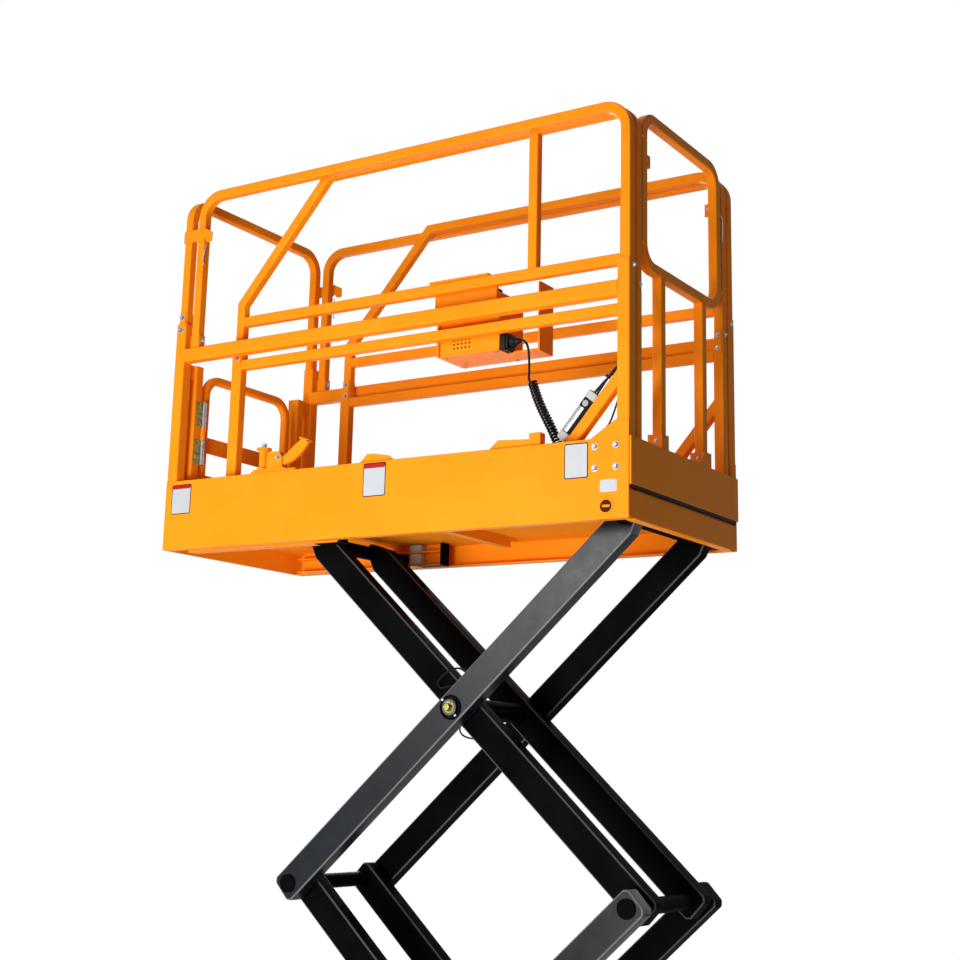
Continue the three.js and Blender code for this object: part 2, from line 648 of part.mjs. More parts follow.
function skirt(side) {
  // Side plate with an inward flange along its bottom and its top.
  return join([
    ...GUIDES.map(({ outline, y }) => slabXZ(outline.map(([a, b]) => [px(a), pz(SKIRT_HEIGHT + b)]),
      sideY(side, y))),
    box(pxs([0, PLATFORM_LENGTH]), sideY(side, [SKIRT_INNER, HALF]), pzs([0, SKIRT_HEIGHT])),
    box(pxs([5, PLATFORM_LENGTH - 6]), sideY(side, [HALF - 34, HALF - 1]), pzs([0, 4])),
    box(pxs([5, PLATFORM_LENGTH - 6]), sideY(side, [HALF - 45, HALF - 1]),
      pzs([SKIRT_HEIGHT - SKIRT_SHEET, SKIRT_HEIGHT])),
  ]);
}

// Cross bearer under the deck; it stands clear of the folded arms.
const BEARER = { x: [900, 930], y: [-300, 244], z: 38 };

function platformDeck() {
  const parts = [
    box(pxs([5, PLATFORM_LENGTH - 6]), [-SKIRT_INNER + SEAT, SKIRT_INNER - SEAT],
      pzs([DECK_UNDERSIDE, DECK_TOP])),
    box(pxs(BEARER.x), BEARER.y, pzs([BEARER.z, DECK_UNDERSIDE + 1])),
  ];
  const cuts = [];
  for (const side of [-1, 1]) {
    // Lugs for the front pins of the upper outer arms.
    const lug = [[-36, 0], [-20, -18], [20, -18], [36, 0], [42, 1], [-42, 1]]
      .map(([a, b], i) => [FRONT_PIN_X + a, i < 4 ? TOP_PIN_Z + b : pz(DECK_UNDERSIDE + b)]);
    parts.push(slabXZ(lug, sideY(side, PLATFORM_LUG)));
    cuts.push(cylinder('y', PIN_RADIUS + RUN, side > 0 ? PLATFORM_LUG[0] - 5 : -PLATFORM_LUG[1] - 5,
      side > 0 ? PLATFORM_LUG[1] + 5 : -PLATFORM_LUG[0] + 5, [FRONT_PIN_X, TOP_PIN_Z]));
  }
  return join(parts, cuts);
}

function platformTrack(side) {
  const x = [STOWED_PIN_X - 36, RAISED_PIN_X + ROLLER_RADIUS + CLEAR];
  return track(side, [x[0], x[1] + 6], TOP_PIN_Z, [TOP_PIN_Z - ROLLER_RADIUS - 5, pz(DECK_UNDERSIDE) - SEAT],
    [x[1], x[1] + 6]);
}

const GATE_POST = { near: [-293, -262], far: [238, 269] };

function rearEnd() {
  const zTop = WIDE_RAIL_LOW;
  return join([
    box(pxs([0, 5 - SEAT]), [-SKIRT_INNER + SEAT, SKIRT_INNER - SEAT], pzs([0, SKIRT_HEIGHT])),
    box(pxs([0, 44]), GATE_POST.near, pzs([SKIRT_HEIGHT - 70, zTop])),
    box(pxs([0, 44]), GATE_POST.far, pzs([SKIRT_HEIGHT - 70, zTop])),
    // Short ties from the gate posts to the corner posts.
    box(pxs([4, 34]), [-316 + SEAT, -290], pzs([zTop - 44, zTop])),
    box(pxs([4, 34]), [268, 316 - SEAT], pzs([zTop - 44, zTop])),
  ]);
}

// Corner posts and the wide mid rail of one side, one welded frame.
function lowerSideFrame(side) {
  const y = sideY(side, [HALF - POST, HALF]);
  const foot = SKIRT_HEIGHT + SEAT;
  const outline = [
    [0, foot], [POST, foot], [POST, WIDE_RAIL_LOW], [PLATFORM_LENGTH - POST + 2, WIDE_RAIL_LOW],
    [PLATFORM_LENGTH - POST + 2, foot + 50], [PLATFORM_LENGTH - 117, foot], [PLATFORM_LENGTH, foot],
    [PLATFORM_LENGTH, FRONT_POST_TOP], [PLATFORM_LENGTH - POST + 2, FRONT_POST_TOP],
    [PLATFORM_LENGTH - POST + 2, WIDE_RAIL_TOP], [POST, WIDE_RAIL_TOP],
    [POST, CORNER_POST_TOP], [0, CORNER_POST_TOP],
  ].map(([a, b]) => [px(a), pz(b)]);
  return slabXZ(outline, y);
}

const UPPER_Y = [HALF - POST + 5, HALF - 5];
function upperSideFrame(side) {
  const y = sideY(side, UPPER_Y);
  const x = pxs([62, PLATFORM_LENGTH - 1]);
  // The rear leg stands on the wide rail, the front leg on its shorter post.
  const frame = slabXZ(hoop(x, pzs([FRONT_POST_TOP + SEAT, RAIL_TOP]), RAIL_TUBE, BEND), y);
  return join([frame, box(pxs([62, 62 + RAIL_TUBE]), y, pzs([WIDE_RAIL_TOP + SEAT, FRONT_POST_TOP + 2]))]);
}

function rearEndFrame() {
  return slabYZ(hoop([-HALF + 8, HALF - 8], pzs([CORNER_POST_TOP + SEAT, RAIL_TOP]), RAIL_TUBE, BEND),
    pxs([4, 4 + RAIL_TUBE]));
}

function footLatch() {
  // Pedal, spring pin housing and its bracket on top of the near skirt.
  const y = [-HALF + 2, -HALF + 36];
  return join([
    box(pxs([345, 520]), y, pzs([SKIRT_HEIGHT + SEAT, SKIRT_HEIGHT + 8])),
    box(pxs([356, 364]), y, pzs([SKIRT_HEIGHT + 6, 290])),
    // Spring housing: a barrel between two flanges.
    ...[[362, 400, 17.5], [362, 370, 21], [394, 400, 21]].map(([from, to, radius]) => cylinder('x', radius,
      px(from), px(to), [-HALF + 22, pz(268)])),
    box(pxs([398, 450]), [-HALF + 8, -HALF + 30], pzs([SKIRT_HEIGHT + 6, 272])),
    slabXZ([[446, 232], [462, 228], [560, 300], [552, 316], [540, 312]].map(([a, b]) => [px(a), pz(b)]),
      [-HALF + 4, -HALF + 34]),
  ]);
}

put('platform_deck', 'orange', platformDeck());
put('platform_rear_end', 'orange', rearEnd());
const FRONT_PLATE = { sheet: 5, low: 2, flange: 30 };
put('platform_front_lower_plate', 'orange', join([
  box(pxs([PLATFORM_LENGTH - FRONT_PLATE.sheet, PLATFORM_LENGTH]), [-SKIRT_INNER + SEAT, SKIRT_INNER - SEAT],
    pzs([FRONT_PLATE.low, DECK_TOP])),
  box(pxs([PLATFORM_LENGTH - FRONT_PLATE.flange, PLATFORM_LENGTH - 1]), [-HALF + 40, HALF - 40],
    pzs([FRONT_PLATE.low - 2, FRONT_PLATE.low + 2])),
]));
put('rear_end_frame', 'orange', rearEndFrame());
for (const { name, side } of SIDES) {
  put(`skirt_${name}`, 'orange', skirt(side));
  put(`platform_track_${name}`, 'orange', platformTrack(side));
  put(`lower_side_frame_${name}`, 'orange', lowerSideFrame(side));
  put(`upper_side_frame_${name}`, 'orange', upperSideFrame(side));
}
put('foot_latch', 'orange', footLatch());

// ================================================================= extension
const EXT_Y = [HALF - EXT_INSET - EXT_TUBE, HALF - EXT_INSET];
const EXT_DECK_LOW = DECK_TOP + SEAT;   // the sliding deck lies on the fixed one
const EXT_DECK_TOP = EXT_DECK_LOW + DECK_SHEET;
const EXT_FRONT = PLATFORM_LENGTH - 2;
const THIN_LOW = [577, 608];
const THIN_TOP = [720, 752];
const TOE = { x: [PLATFORM_LENGTH + 1, PLATFORM_LENGTH + 6], z: [90, SKIRT_HEIGHT] };

put('extension_deck', 'orange', box(pxs([225, EXT_FRONT]), [-EXT_Y[1], EXT_Y[1]],
  pzs([EXT_DECK_LOW, EXT_DECK_TOP])));

const MID_POSTS = { near: [-153, -123], far: [126, 156] };
const SOCKET_TOP = 262;
function toePlate() {
  const parts = [box(pxs(TOE.x), [-HALF, HALF], pzs(TOE.z))];
  // A slanted gusset beside the far post, and sockets that tie the plate to the deck.
  const { far } = MID_POSTS;
  const gusset = [[far[0] - 46, TOE.z[1] - 1], [far[1] + 7, TOE.z[1] - 1], [far[1] + 7, SOCKET_TOP],
    [far[0] - 7, SOCKET_TOP]];
  parts.push(slabYZ(gusset.map(([y, z]) => [y, pz(z)]), pxs(TOE.x)));
  for (const y of [MID_POSTS.near, MID_POSTS.far].map(([a, b]) => [a - 7, b + 7])) {
    parts.push(box(pxs([EXT_FRONT - 40, TOE.x[0] + 1]), y, pzs([EXT_DECK_TOP + SEAT, SOCKET_TOP])));
  }
  return join(parts);
}
put('extension_toe_plate', 'orange', toePlate());

const BRACE = { foot: EXT_FRONT - 330, lean: degrees(49.5), tube: 32 };
function extLowerFrame(side) {
  const foot = EXT_DECK_TOP + SEAT;
  const t = EXT_TUBE;
  const rear = EXT_REAR;
  const front = EXT_FRONT;
  const outline = [
    [rear, foot], [rear + POST, foot], [rear + POST, THIN_LOW[0]], [front - t, THIN_LOW[0]],
    [front - t, foot], [front, foot], [front, EXT_HINGE], [front - t, EXT_HINGE], [front - t, THIN_LOW[1]],
    [rear + POST, THIN_LOW[1]], [rear + POST, EXT_HINGE], [rear, EXT_HINGE],
  ].map(([a, b]) => [px(a), pz(b)]);
  const parts = [slabXZ(outline, sideY(side, EXT_Y))];
  // Diagonal brace into the front corner.
  const run = BRACE.tube / 2 / Math.sin(BRACE.lean);
  const rise = BRACE.tube / 2 / Math.cos(BRACE.lean);
  const head = [front - t / 2, foot + (front - t / 2 - BRACE.foot) * Math.tan(BRACE.lean)];
  const brace = [[BRACE.foot - run, foot], [BRACE.foot + run, foot],
    [head[0], head[1] - rise], [head[0], head[1] + rise]];
  parts.push(slabXZ(brace.map(([a, b]) => [px(a), pz(b)]), sideY(side, EXT_Y)));
  return join(parts);
}

function extUpperFrame(side) {
  const foot = EXT_HINGE + SEAT;
  const rear = EXT_REAR + 10;
  const front = EXT_FRONT;
  const t = RAIL_TUBE;
  const elbow = 800;
  const peak = 548;
  const stile = 1297;
  const top = EXT_TOP;
  const bend = rounded([rear, front], [foot, top], [0, 0, BEND, 0]);
  const outline = [[rear, foot], [rear + t, foot], [rear + t, THIN_TOP[0]], [front - t, THIN_TOP[0]],
    [front - t, foot], [front, foot], ...bend.slice(2, 8), [peak, top], [rear, elbow]];
  const holes = [
    [[rear + t, THIN_TOP[1]], [stile, THIN_TOP[1]], [stile, top - t], [peak + 14, top - t],
      [rear + t, elbow - 13]],
    [[stile + t, THIN_TOP[1]], [front - t, THIN_TOP[1]],
      ...rounded([rear, front - t], [foot, top - t], [0, 0, BEND - t, 0]).slice(2, 8), [stile + t, top - t]],
  ];
  const map = (list) => list.map(([a, b]) => [px(a), pz(b)]);
  const thick = sideY(side, [EXT_Y[0] + 1, EXT_Y[1] - 1]);
  const through = [thick[0] - 2, thick[1] + 2];
  return join([slabXZ(map(outline), thick)], holes.map((hole) => slabXZ(map(hole), through)));
}

for (const { name, side } of SIDES) {
  put(`extension_lower_frame_${name}`, 'orange', extLowerFrame(side));
  put(`extension_upper_frame_${name}`, 'orange', extUpperFrame(side));
}

// Bent tube loop across the front with its two mid posts.
function endLoop() {
  const y = [-268, 268];
  const z = pzs([715, RAIL_TOP]);
  const t = RAIL_TUBE;
  const outer2 = rounded(y, z, [60, 60, BEND, BEND]);
  const hole = rounded([y[0] + t, y[1] - t], [z[0] + t, z[1] - t], [60 - t, 60 - t, BEND - t, BEND - t]);
  const x = pxs([EXT_FRONT - t, EXT_FRONT]);
  const parts = [slabYZ(outer2, x, [hole])];
  for (const at of [MID_POSTS.near, MID_POSTS.far]) {
    parts.push(box(x, at, pzs([SOCKET_TOP + SEAT, 718])));
  }
  return join(parts);
}
put('extension_end_loop', 'orange', endLoop());

// ---------------------------------------------------------------- control box
const BOX = { x: [977, 1182], y: [-262, -124], z: [543, 712] };
const PLUG = { x: [BOX.x[1] + SEAT, 1240], y: [-258, -206], z: [537, 588] };
put('control_box', 'orange', box(pxs(BOX.x), BOX.y, pzs(BOX.z)));
put('control_plug', 'plastic', box(pxs(PLUG.x), PLUG.y, pzs(PLUG.z)));
// Sheet bracket: hook over the thin rail, back plate, tray and end plate.
const TRAY = { x: [970, 1284], y: [-204, BOX.y[1]], low: 535, side: 716 };
put('control_box_bracket', 'orange', join([
  box(pxs([962, 1178]), [-EXT_Y[0] + SEAT, BOX.y[0] - SEAT], pzs([640, THIN_TOP[1] + 6])),
  box(pxs([962, 1168]), [-EXT_Y[1] - 4, -EXT_Y[0] + 4], pzs([THIN_TOP[1] + SEAT, THIN_TOP[1] + 6])),
  box(pxs([TRAY.x[0], BOX.x[0] - SEAT]), [BOX.y[0] - 8, TRAY.y[1]], pzs([TRAY.low, TRAY.side])),
  box(pxs(TRAY.x), TRAY.y, pzs([TRAY.low, BOX.z[0] - SEAT])),
  box(pxs([TRAY.x[0], BOX.x[1] - 1]), BOX.y, pzs([TRAY.low, BOX.z[0] - SEAT])),
  box(pxs([TRAY.x[1] - 6, TRAY.x[1]]), TRAY.y, pzs([TRAY.low, 745])),
]));

// Curly cord: a plain lead from the connector, then the coil as one fat tube.
const CORD = { radius: 4, coil: 15 };
function tubeAlong(points, radius, count = 10, steps = 16) {
  const curve = new THREE.CatmullRomCurve3(points.map((p) => new THREE.Vector3(...p)));
  const section = new THREE.Shape(circle(0, 0, radius, count).map(([a, b]) => new THREE.Vector2(a, b)));
  return new THREE.ExtrudeGeometry(section, { extrudePath: curve, steps, bevelEnabled: false });
}

const CORD_END = { x: 1385, y: -200, z: 125 };
const COIL_TOP = 442;
const LEAD_Y = -232;         // the lead hangs beside the box
const GLAND = { radius: 20, top: 112 };
put('curly_cord_lead', 'plastic', tubeAlong([
  [px(PLUG.x[1] + SEAT), LEAD_Y, pz(562)], [px(PLUG.x[1] + 7), LEAD_Y, pz(562)],
  [px(1258), LEAD_Y, pz(550)], [px(1265), LEAD_Y, pz(524)], [px(1268), LEAD_Y, pz(480)],
  [px(1268), LEAD_Y, pz(COIL_TOP + SEAT)],
], CORD.radius, 8, 12));
put('curly_cord_coil', 'plastic', tubeAlong([
  [px(1278), LEAD_Y, pz(COIL_TOP)], [px(1280), LEAD_Y, pz(COIL_TOP - 12)], [px(1304), -230, pz(365)],
  [px(1352), -220, pz(262)], [px(CORD_END.x), CORD_END.y, pz(CORD_END.z + 20)],
  [px(CORD_END.x), CORD_END.y, pz(GLAND.top + SEAT)],
], CORD.coil, 10, 10));
put('cord_gland', 'plastic', cylinder('z', GLAND.radius, pz(EXT_DECK_TOP + SEAT), pz(GLAND.top),
  [px(CORD_END.x), CORD_END.y]));

// Canister clamped along the upper side of the near brace.
const CANISTER = { along: [183, 334], radius: 17 };
put('canister', 'clear', (() => {
  const [from, to] = CANISTER.along;
  const g = turned([[from, from + 24, CANISTER.radius], [from + 24, to - 24, CANISTER.radius - 2],
    [to - 24, to, CANISTER.radius]]);
  g.rotateZ(-Math.PI / 2);
  g.translate(0, 0, BRACE.tube / 2 + CANISTER.radius + SEAT);
  g.rotateY(-BRACE.lean);
  g.translate(px(BRACE.foot), -(EXT_Y[0] + EXT_Y[1]) / 2, pz(EXT_DECK_TOP + SEAT));
  return g;
})());

// ====================================================================== gate
const GATE = { y: [-240, 208], z: [236, 604], x: [10, 38], plate: [340, 392] };
const HINGE = { x: 46, y: -251, radius: 8, low: [290, 372], high: [414, 496] };
const KNUCKLE = [HINGE.low[1] + SEAT, HINGE.high[0] - SEAT];
put('gate', 'orange', join([
  slabYZ(hoop(GATE.y, pzs(GATE.z), 28, 76), pxs(GATE.x)),
  box(pxs([20, 28]), [GATE.y[0] + 2, GATE.y[1] - 2], pzs(GATE.plate)),
  box(pxs(GATE.x), [GATE.y[0] + 2, GATE.y[1] - 2], pzs([GATE.z[0], GATE.z[0] + 28])),
  // Knuckle between the two spring barrels, with its strap to the gate.
  cylinder('z', HINGE.radius, pz(KNUCKLE[0]), pz(KNUCKLE[1]), [px(HINGE.x), HINGE.y]),
  box(pxs([GATE.x[1] - 10, HINGE.x]), [HINGE.y, GATE.y[0] + 4], pzs(KNUCKLE)),
]));
put('gate_hinges', 'zinc', join([
  box(pxs([39, 44]), [-262 + SEAT, -250], pzs(HINGE.low)),
  box(pxs([39, 44]), [-262 + SEAT, -250], pzs(HINGE.high)),
  box(pxs([39, 44]), [-262 + SEAT, -260], pzs([280, 500])),
  cylinder('z', HINGE.radius, pz(HINGE.low[0]), pz(HINGE.low[1]), [px(HINGE.x), HINGE.y]),
  cylinder('z', HINGE.radius, pz(HINGE.high[0]), pz(HINGE.high[1]), [px(HINGE.x), HINGE.y]),
]));

export default model;
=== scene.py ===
"""Looks of a self-propelled scissor lift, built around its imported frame.

Every length is in metres in the shared frame: X forward, Y to the far side, Z up. Each
sub-assembly is a class that holds its sizes and builds and dresses its own pieces.
"""

import json
import logging
import math
from dataclasses import dataclass, field
from enum import Enum

import bmesh
import bpy
import numpy as np
from mathutils import Matrix, Vector


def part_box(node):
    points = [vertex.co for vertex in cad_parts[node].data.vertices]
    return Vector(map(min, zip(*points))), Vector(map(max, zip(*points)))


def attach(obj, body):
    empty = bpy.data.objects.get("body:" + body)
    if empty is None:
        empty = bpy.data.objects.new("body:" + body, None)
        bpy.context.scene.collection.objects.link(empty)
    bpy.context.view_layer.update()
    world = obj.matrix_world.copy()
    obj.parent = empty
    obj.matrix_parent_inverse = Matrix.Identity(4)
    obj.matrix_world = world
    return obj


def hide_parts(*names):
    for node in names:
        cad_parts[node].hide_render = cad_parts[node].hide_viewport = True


log = logging.getLogger("lift")
Array = np.ndarray
Span = tuple[float, float]
Point = tuple[float, float, float]
MM = 0.001


# ------------------------------------------------------------------ surfaces
@dataclass
class Shell:
    """A closed surface: its points, its faces and how much of an edge each point is."""

    points: Array
    quads: Array
    caps: list[list[int]]
    edge: Array
    finish: int = 0

    def outward(self) -> "Shell":
        """Turn every face outward, by the sign of the volume that they enclose.

        Returns:
            The same shell, with its faces reversed where the volume is negative.
        """
        q = self.points[self.quads]
        volume = np.einsum("ij,ij->", q[:, 0], np.cross(q[:, 1], q[:, 2]))
        volume += np.einsum("ij,ij->", q[:, 0], np.cross(q[:, 2], q[:, 3]))
        for cap in self.caps:
            p = self.points[cap]
            volume += np.einsum("j,ij->", p[0], np.cross(p[1:-1], p[2:]))
        if volume < 0:
            self.quads = self.quads[:, ::-1]
            self.caps = [cap[::-1] for cap in self.caps]
        return self

    def painted(self, finish: int) -> "Shell":
        """Give the shell another of its piece's finishes, by number."""
        self.finish = finish
        return self


def loft(rings: Array, edge: Array | None = None, ring: bool = False) -> Shell:
    """Skin a stack of closed rings: face (i, j) joins points j, j+1 of rings i, i+1.

    Args:
        rings: Points, shaped (rings, points, 3).
        edge: How much of an edge each ring is, from 0 to 1.
        ring: True where the last ring joins the first, and no ends are closed.

    Returns:
        The closed shell.
    """
    n, m, _ = rings.shape
    index = np.arange(n * m).reshape(n, m)
    low = index if ring else index[:-1]
    high = np.roll(index, -1, axis=0) if ring else index[1:]
    quads = np.stack([low, np.roll(low, -1, 1), np.roll(high, -1, 1), high], axis=-1)
    caps = [] if ring else [index[0][::-1].tolist(), index[-1].tolist()]
    shade = np.zeros(n) if edge is None else np.asarray(edge, float)
    return Shell(rings.reshape(-1, 3), quads.reshape(-1, 4), caps, np.repeat(shade, m)).outward()


def rounded(outline: Array, radius: float | Array, steps: int = 4) -> Array:
    """Round an outline's corners with the curve (1-s)^2 a + 2s(1-s) v + s^2 b.

    Args:
        outline: Corner points v, shaped (n, 2).
        radius: Distance from v to the curve's ends a and b, one or one a corner.
        steps: Pieces of each curve.

    Returns:
        The rounded outline, shaped (n * (steps + 1), 2).
    """
    v = np.asarray(outline, float)
    back, ahead = np.roll(v, 1, 0) - v, np.roll(v, -1, 0) - v
    lengths = np.minimum(np.linalg.norm(back, axis=1), np.linalg.norm(ahead, axis=1))
    reach = np.minimum(np.broadcast_to(radius, lengths.shape), 0.45 * lengths)[:, None]
    a = v + back / np.linalg.norm(back, axis=1)[:, None] * reach
    b = v + ahead / np.linalg.norm(ahead, axis=1)[:, None] * reach
    s = np.linspace(0, 1, steps + 1)[None, :, None]
    curve = (1 - s) ** 2 * a[:, None] + 2 * s * (1 - s) * v[:, None] + s**2 * b[:, None]
    return curve.reshape(-1, 2)


def inset(outline: Array, depth: float) -> Array:
    """Move every side of an outline inward: v + d (n1 + n2) / (1 + n1 . n2).

    Args:
        outline: Points in order, shaped (n, 2).
        depth: Distance d that the sides move.

    Returns:
        The smaller outline, with as many points.
    """
    ahead = np.roll(outline, -1, 0) - outline
    area = np.sum(outline[:, 0] * np.roll(outline[:, 1], -1) - np.roll(outline[:, 0], -1) * outline[:, 1])
    normal = np.stack([-ahead[:, 1], ahead[:, 0]], 1) * np.sign(area)
    normal /= np.linalg.norm(normal, axis=1)[:, None] + 1e-12
    before = np.roll(normal, 1, 0)
    spread = 1 + np.sum(normal * before, axis=1)
    return outline + depth * (normal + before) / np.maximum(spread, 0.3)[:, None]


class Plane(Enum):
    """The plane that an outline is drawn in, as the axes of its two numbers."""

    XZ = (0, 2, 1)
    YZ = (1, 2, 0)
    XY = (0, 1, 2)


def slab(outline: Array, plane: Plane, span: Span, edge: float = 0.0012) -> Shell:
    """Carry an outline across a span, smaller at both ends so that its edges are round.

    The ring at height h below the face is inset by e - sqrt(e^2 - (e - h)^2).

    Args:
        outline: Points in the plane's two axes, shaped (n, 2).
        plane: Plane of the outline.
        span: Lowest and highest place along the third axis.
        edge: Radius e of the rounded edges.

    Returns:
        The closed plate or block.
    """
    points = np.asarray(outline, float)
    e = min(edge, 0.45 * (span[1] - span[0]))
    turn = np.radians([0, 45, 90])
    inward = np.concatenate([e - e * np.sin(turn), e - e * np.sin(turn[::-1])])
    height = np.concatenate([span[0] + e - e * np.cos(turn), span[1] - e + e * np.cos(turn[::-1])])
    first, second, third = plane.value
    rings = np.empty((len(height), len(points), 3))
    for i, (depth, level) in enumerate(zip(inward, height)):
        rings[i][:, (first, second)] = inset(points, depth)
        rings[i][:, third] = level
    return loft(rings, np.array([0, 1, 0, 0, 1, 0]))


def block(low: Point, high: Point, edge: float = 0.0012, corner: float = 0.0012) -> Shell:
    """A box between two corners with all its edges rounded."""
    x, y, z = zip(low, high)
    outline = rounded(np.array([(x[0], y[0]), (x[1], y[0]), (x[1], y[1]), (x[0], y[1])]), corner, 3)
    return slab(outline, Plane.XY, z, edge)


def box_section(width: float, depth: float, corner: float, steps: int = 3) -> Array:
    """Outline of a square tube: quarter circles c (cos t, sin t) about its four corners.

    Args:
        width: Size along the first number.
        depth: Size along the second number.
        corner: Radius of the corners.
        steps: Pieces of each quarter circle.

    Returns:
        Points in order, shaped (4 * (steps + 1), 2).
    """
    quarter = np.linspace(0, np.pi / 2, steps + 1)
    turns = (np.arange(4)[:, None] * np.pi / 2 + quarter).ravel()
    centre = np.repeat(np.array([(1, 1), (-1, 1), (-1, -1), (1, -1)]), steps + 1, axis=0)
    half = np.array([width / 2 - corner, depth / 2 - corner])
    return centre * half + corner * np.stack([np.cos(turns), np.sin(turns)], 1)


def circle_section(radius: float, count: int = 16) -> Array:
    """Outline r (cos t, sin t) of a round bar or wire."""
    turn = np.linspace(0, 2 * np.pi, count, endpoint=False)
    return radius * np.stack([np.cos(turn), np.sin(turn)], 1)


def bent(corners: Array, radius: float, steps: int = 8) -> Array:
    """Replace each inner corner of a line by an arc of the given radius.

    The arc runs about the point on the corner's bisector at r / cos(turn / 2), from one
    leg to the other, as c + r (cos, sin) of an angle in the plane of the legs.

    Args:
        corners: Line through the corners, shaped (n, 3).
        radius: Bend radius of the centre line; 0 keeps the corners.
        steps: Pieces of each arc.

    Returns:
        The line's points with arcs, shaped (m, 3).
    """
    line = np.asarray(corners, float)
    if radius <= 0:
        return line
    parts = [line[:1]]
    for before, at, after in zip(line[:-2], line[1:-1], line[2:]):
        u = (before - at) / np.linalg.norm(before - at)
        w = (after - at) / np.linalg.norm(after - at)
        half = math.acos(float(np.clip(u @ w, -1, 1))) / 2
        middle = (u + w) / np.linalg.norm(u + w)
        centre = at + middle * radius / math.sin(half)
        across = np.cross(np.cross(middle, w), middle)
        across /= np.linalg.norm(across)
        turn = np.linspace(-1, 1, steps + 1)[:, None] * (np.pi / 2 - half)
        parts.append(centre - radius * np.cos(turn) * middle + radius * np.sin(turn) * across)
    parts.append(line[-1:])
    return np.concatenate(parts)


def carried(path: Array, section: Array, side: Point, round_ends: float = 0.0) -> Shell:
    """Carry a section along a line that lies in one plane, with mitred corners.

    At a corner the ring lies in the bisector plane: its in-plane number is divided by the
    cosine of half the turn. Ends may be rounded by smaller rings.

    Args:
        path: Points of the line, shaped (n, 3).
        section: Outline, its first number along `side`, its second in the plane.
        side: Unit normal of the line's plane.
        round_ends: Radius of the rounded end edges; 0 leaves them square.

    Returns:
        The closed tube or bar.
    """
    line = np.asarray(path, float)
    scale = np.ones(len(line))
    if round_ends > 0:
        size = float(np.min(np.ptp(section, axis=0)))
        smaller = 1 - 2 * round_ends / size
        first = line[0] + (line[1] - line[0]) / np.linalg.norm(line[1] - line[0]) * round_ends
        last = line[-1] + (line[-2] - line[-1]) / np.linalg.norm(line[-2] - line[-1]) * round_ends
        line = np.concatenate([line[:1], first[None], line[1:-1], last[None], line[-1:]])
        scale = np.ones(len(line))
        scale[[0, -1]] = smaller
    step = np.diff(line, axis=0)
    step /= np.linalg.norm(step, axis=1)[:, None]
    tangent = np.concatenate([step[:1], step[:-1] + step[1:], step[-1:]])
    tangent /= np.linalg.norm(tangent, axis=1)[:, None]
    cosine = np.concatenate([[1.0], np.sum(tangent[1:-1] * step[1:], axis=1), [1.0]])
    normal = np.cross(tangent, np.asarray(side, float))
    across = np.broadcast_to(np.asarray(side, float), normal.shape)
    a = section[None, :, 0, None] * across[:, None] * scale[:, None, None]
    b = section[None, :, 1, None] * normal[:, None] * (scale / cosine)[:, None, None]
    return loft(line[:, None] + a + b)


def wire(path: Array, radius: float, count: int = 10) -> Shell:
    """Carry a circle along any smooth line, its frame turned as little as may be.

    Args:
        path: Points of the line, shaped (n, 3).
        radius: Radius of the wire.
        count: Points round it.

    Returns:
        The closed wire.
    """
    line = np.asarray(path, float)
    step = np.gradient(line, axis=0)
    step /= np.linalg.norm(step, axis=1)[:, None]
    across = np.zeros_like(step)
    start = np.cross(step[0], (0.31, 0.87, 0.38))
    across[0] = start / np.linalg.norm(start)
    for i in range(1, len(line)):
        moved = across[i - 1] - step[i] * (across[i - 1] @ step[i])
        across[i] = moved / np.linalg.norm(moved)
    up = np.cross(step, across)
    ring = circle_section(radius, count)
    rings = line[:, None] + ring[None, :, 0, None] * across[:, None] + ring[None, :, 1, None] * up[:, None]
    return loft(rings)


def smooth_line(points: Array, steps: int = 10) -> Array:
    """Pass a Catmull-Rom curve through points: cubic pieces with slope (p2 - p0) / 2.

    Args:
        points: Points to pass through, shaped (n, 3).
        steps: Pieces between two of them.

    Returns:
        Points of the curve.
    """
    p = np.asarray(points, float)
    p = np.concatenate([2 * p[:1] - p[1:2], p, 2 * p[-1:] - p[-2:-1]])
    t = np.linspace(0, 1, steps, endpoint=False)[None, :, None]
    a, b, c, d = (x[:, None] for x in (p[:-3], p[1:-2], p[2:-1], p[3:]))
    curve = 0.5 * (2 * b + (c - a) * t + (2 * a - 5 * b + 4 * c - d) * t**2 + (3 * b - a - 3 * c + d) * t**3)
    return np.concatenate([curve.reshape(-1, 3), p[-2:-1]])


def turned(profile: Array, at: Point, axis: Point, count: int = 32, ring: bool = False) -> Shell:
    """Turn a profile of (radius, height) points about an axis: c + h n + r (cos t u + sin t w).

    Args:
        profile: Radius and height of each ring, shaped (n, 2).
        at: Point of the axis where the height is 0.
        axis: Direction of the axis.
        count: Points of each ring.
        ring: True where the profile is closed and doesn't meet the axis.

    Returns:
        The closed body.
    """
    n = np.asarray(axis, float) / np.linalg.norm(axis)
    u = np.cross(n, (0.0, 0.0, 1.0) if abs(n[2]) < 0.9 else (1.0, 0.0, 0.0))
    u /= np.linalg.norm(u)
    w = np.cross(n, u)
    turn = np.linspace(0, 2 * np.pi, count, endpoint=False)
    round_ = np.cos(turn)[:, None] * u + np.sin(turn)[:, None] * w
    p = np.asarray(profile, float)
    rings = np.asarray(at, float) + p[:, 1, None, None] * n + p[:, 0, None, None] * round_[None]
    return loft(rings, ring=ring)


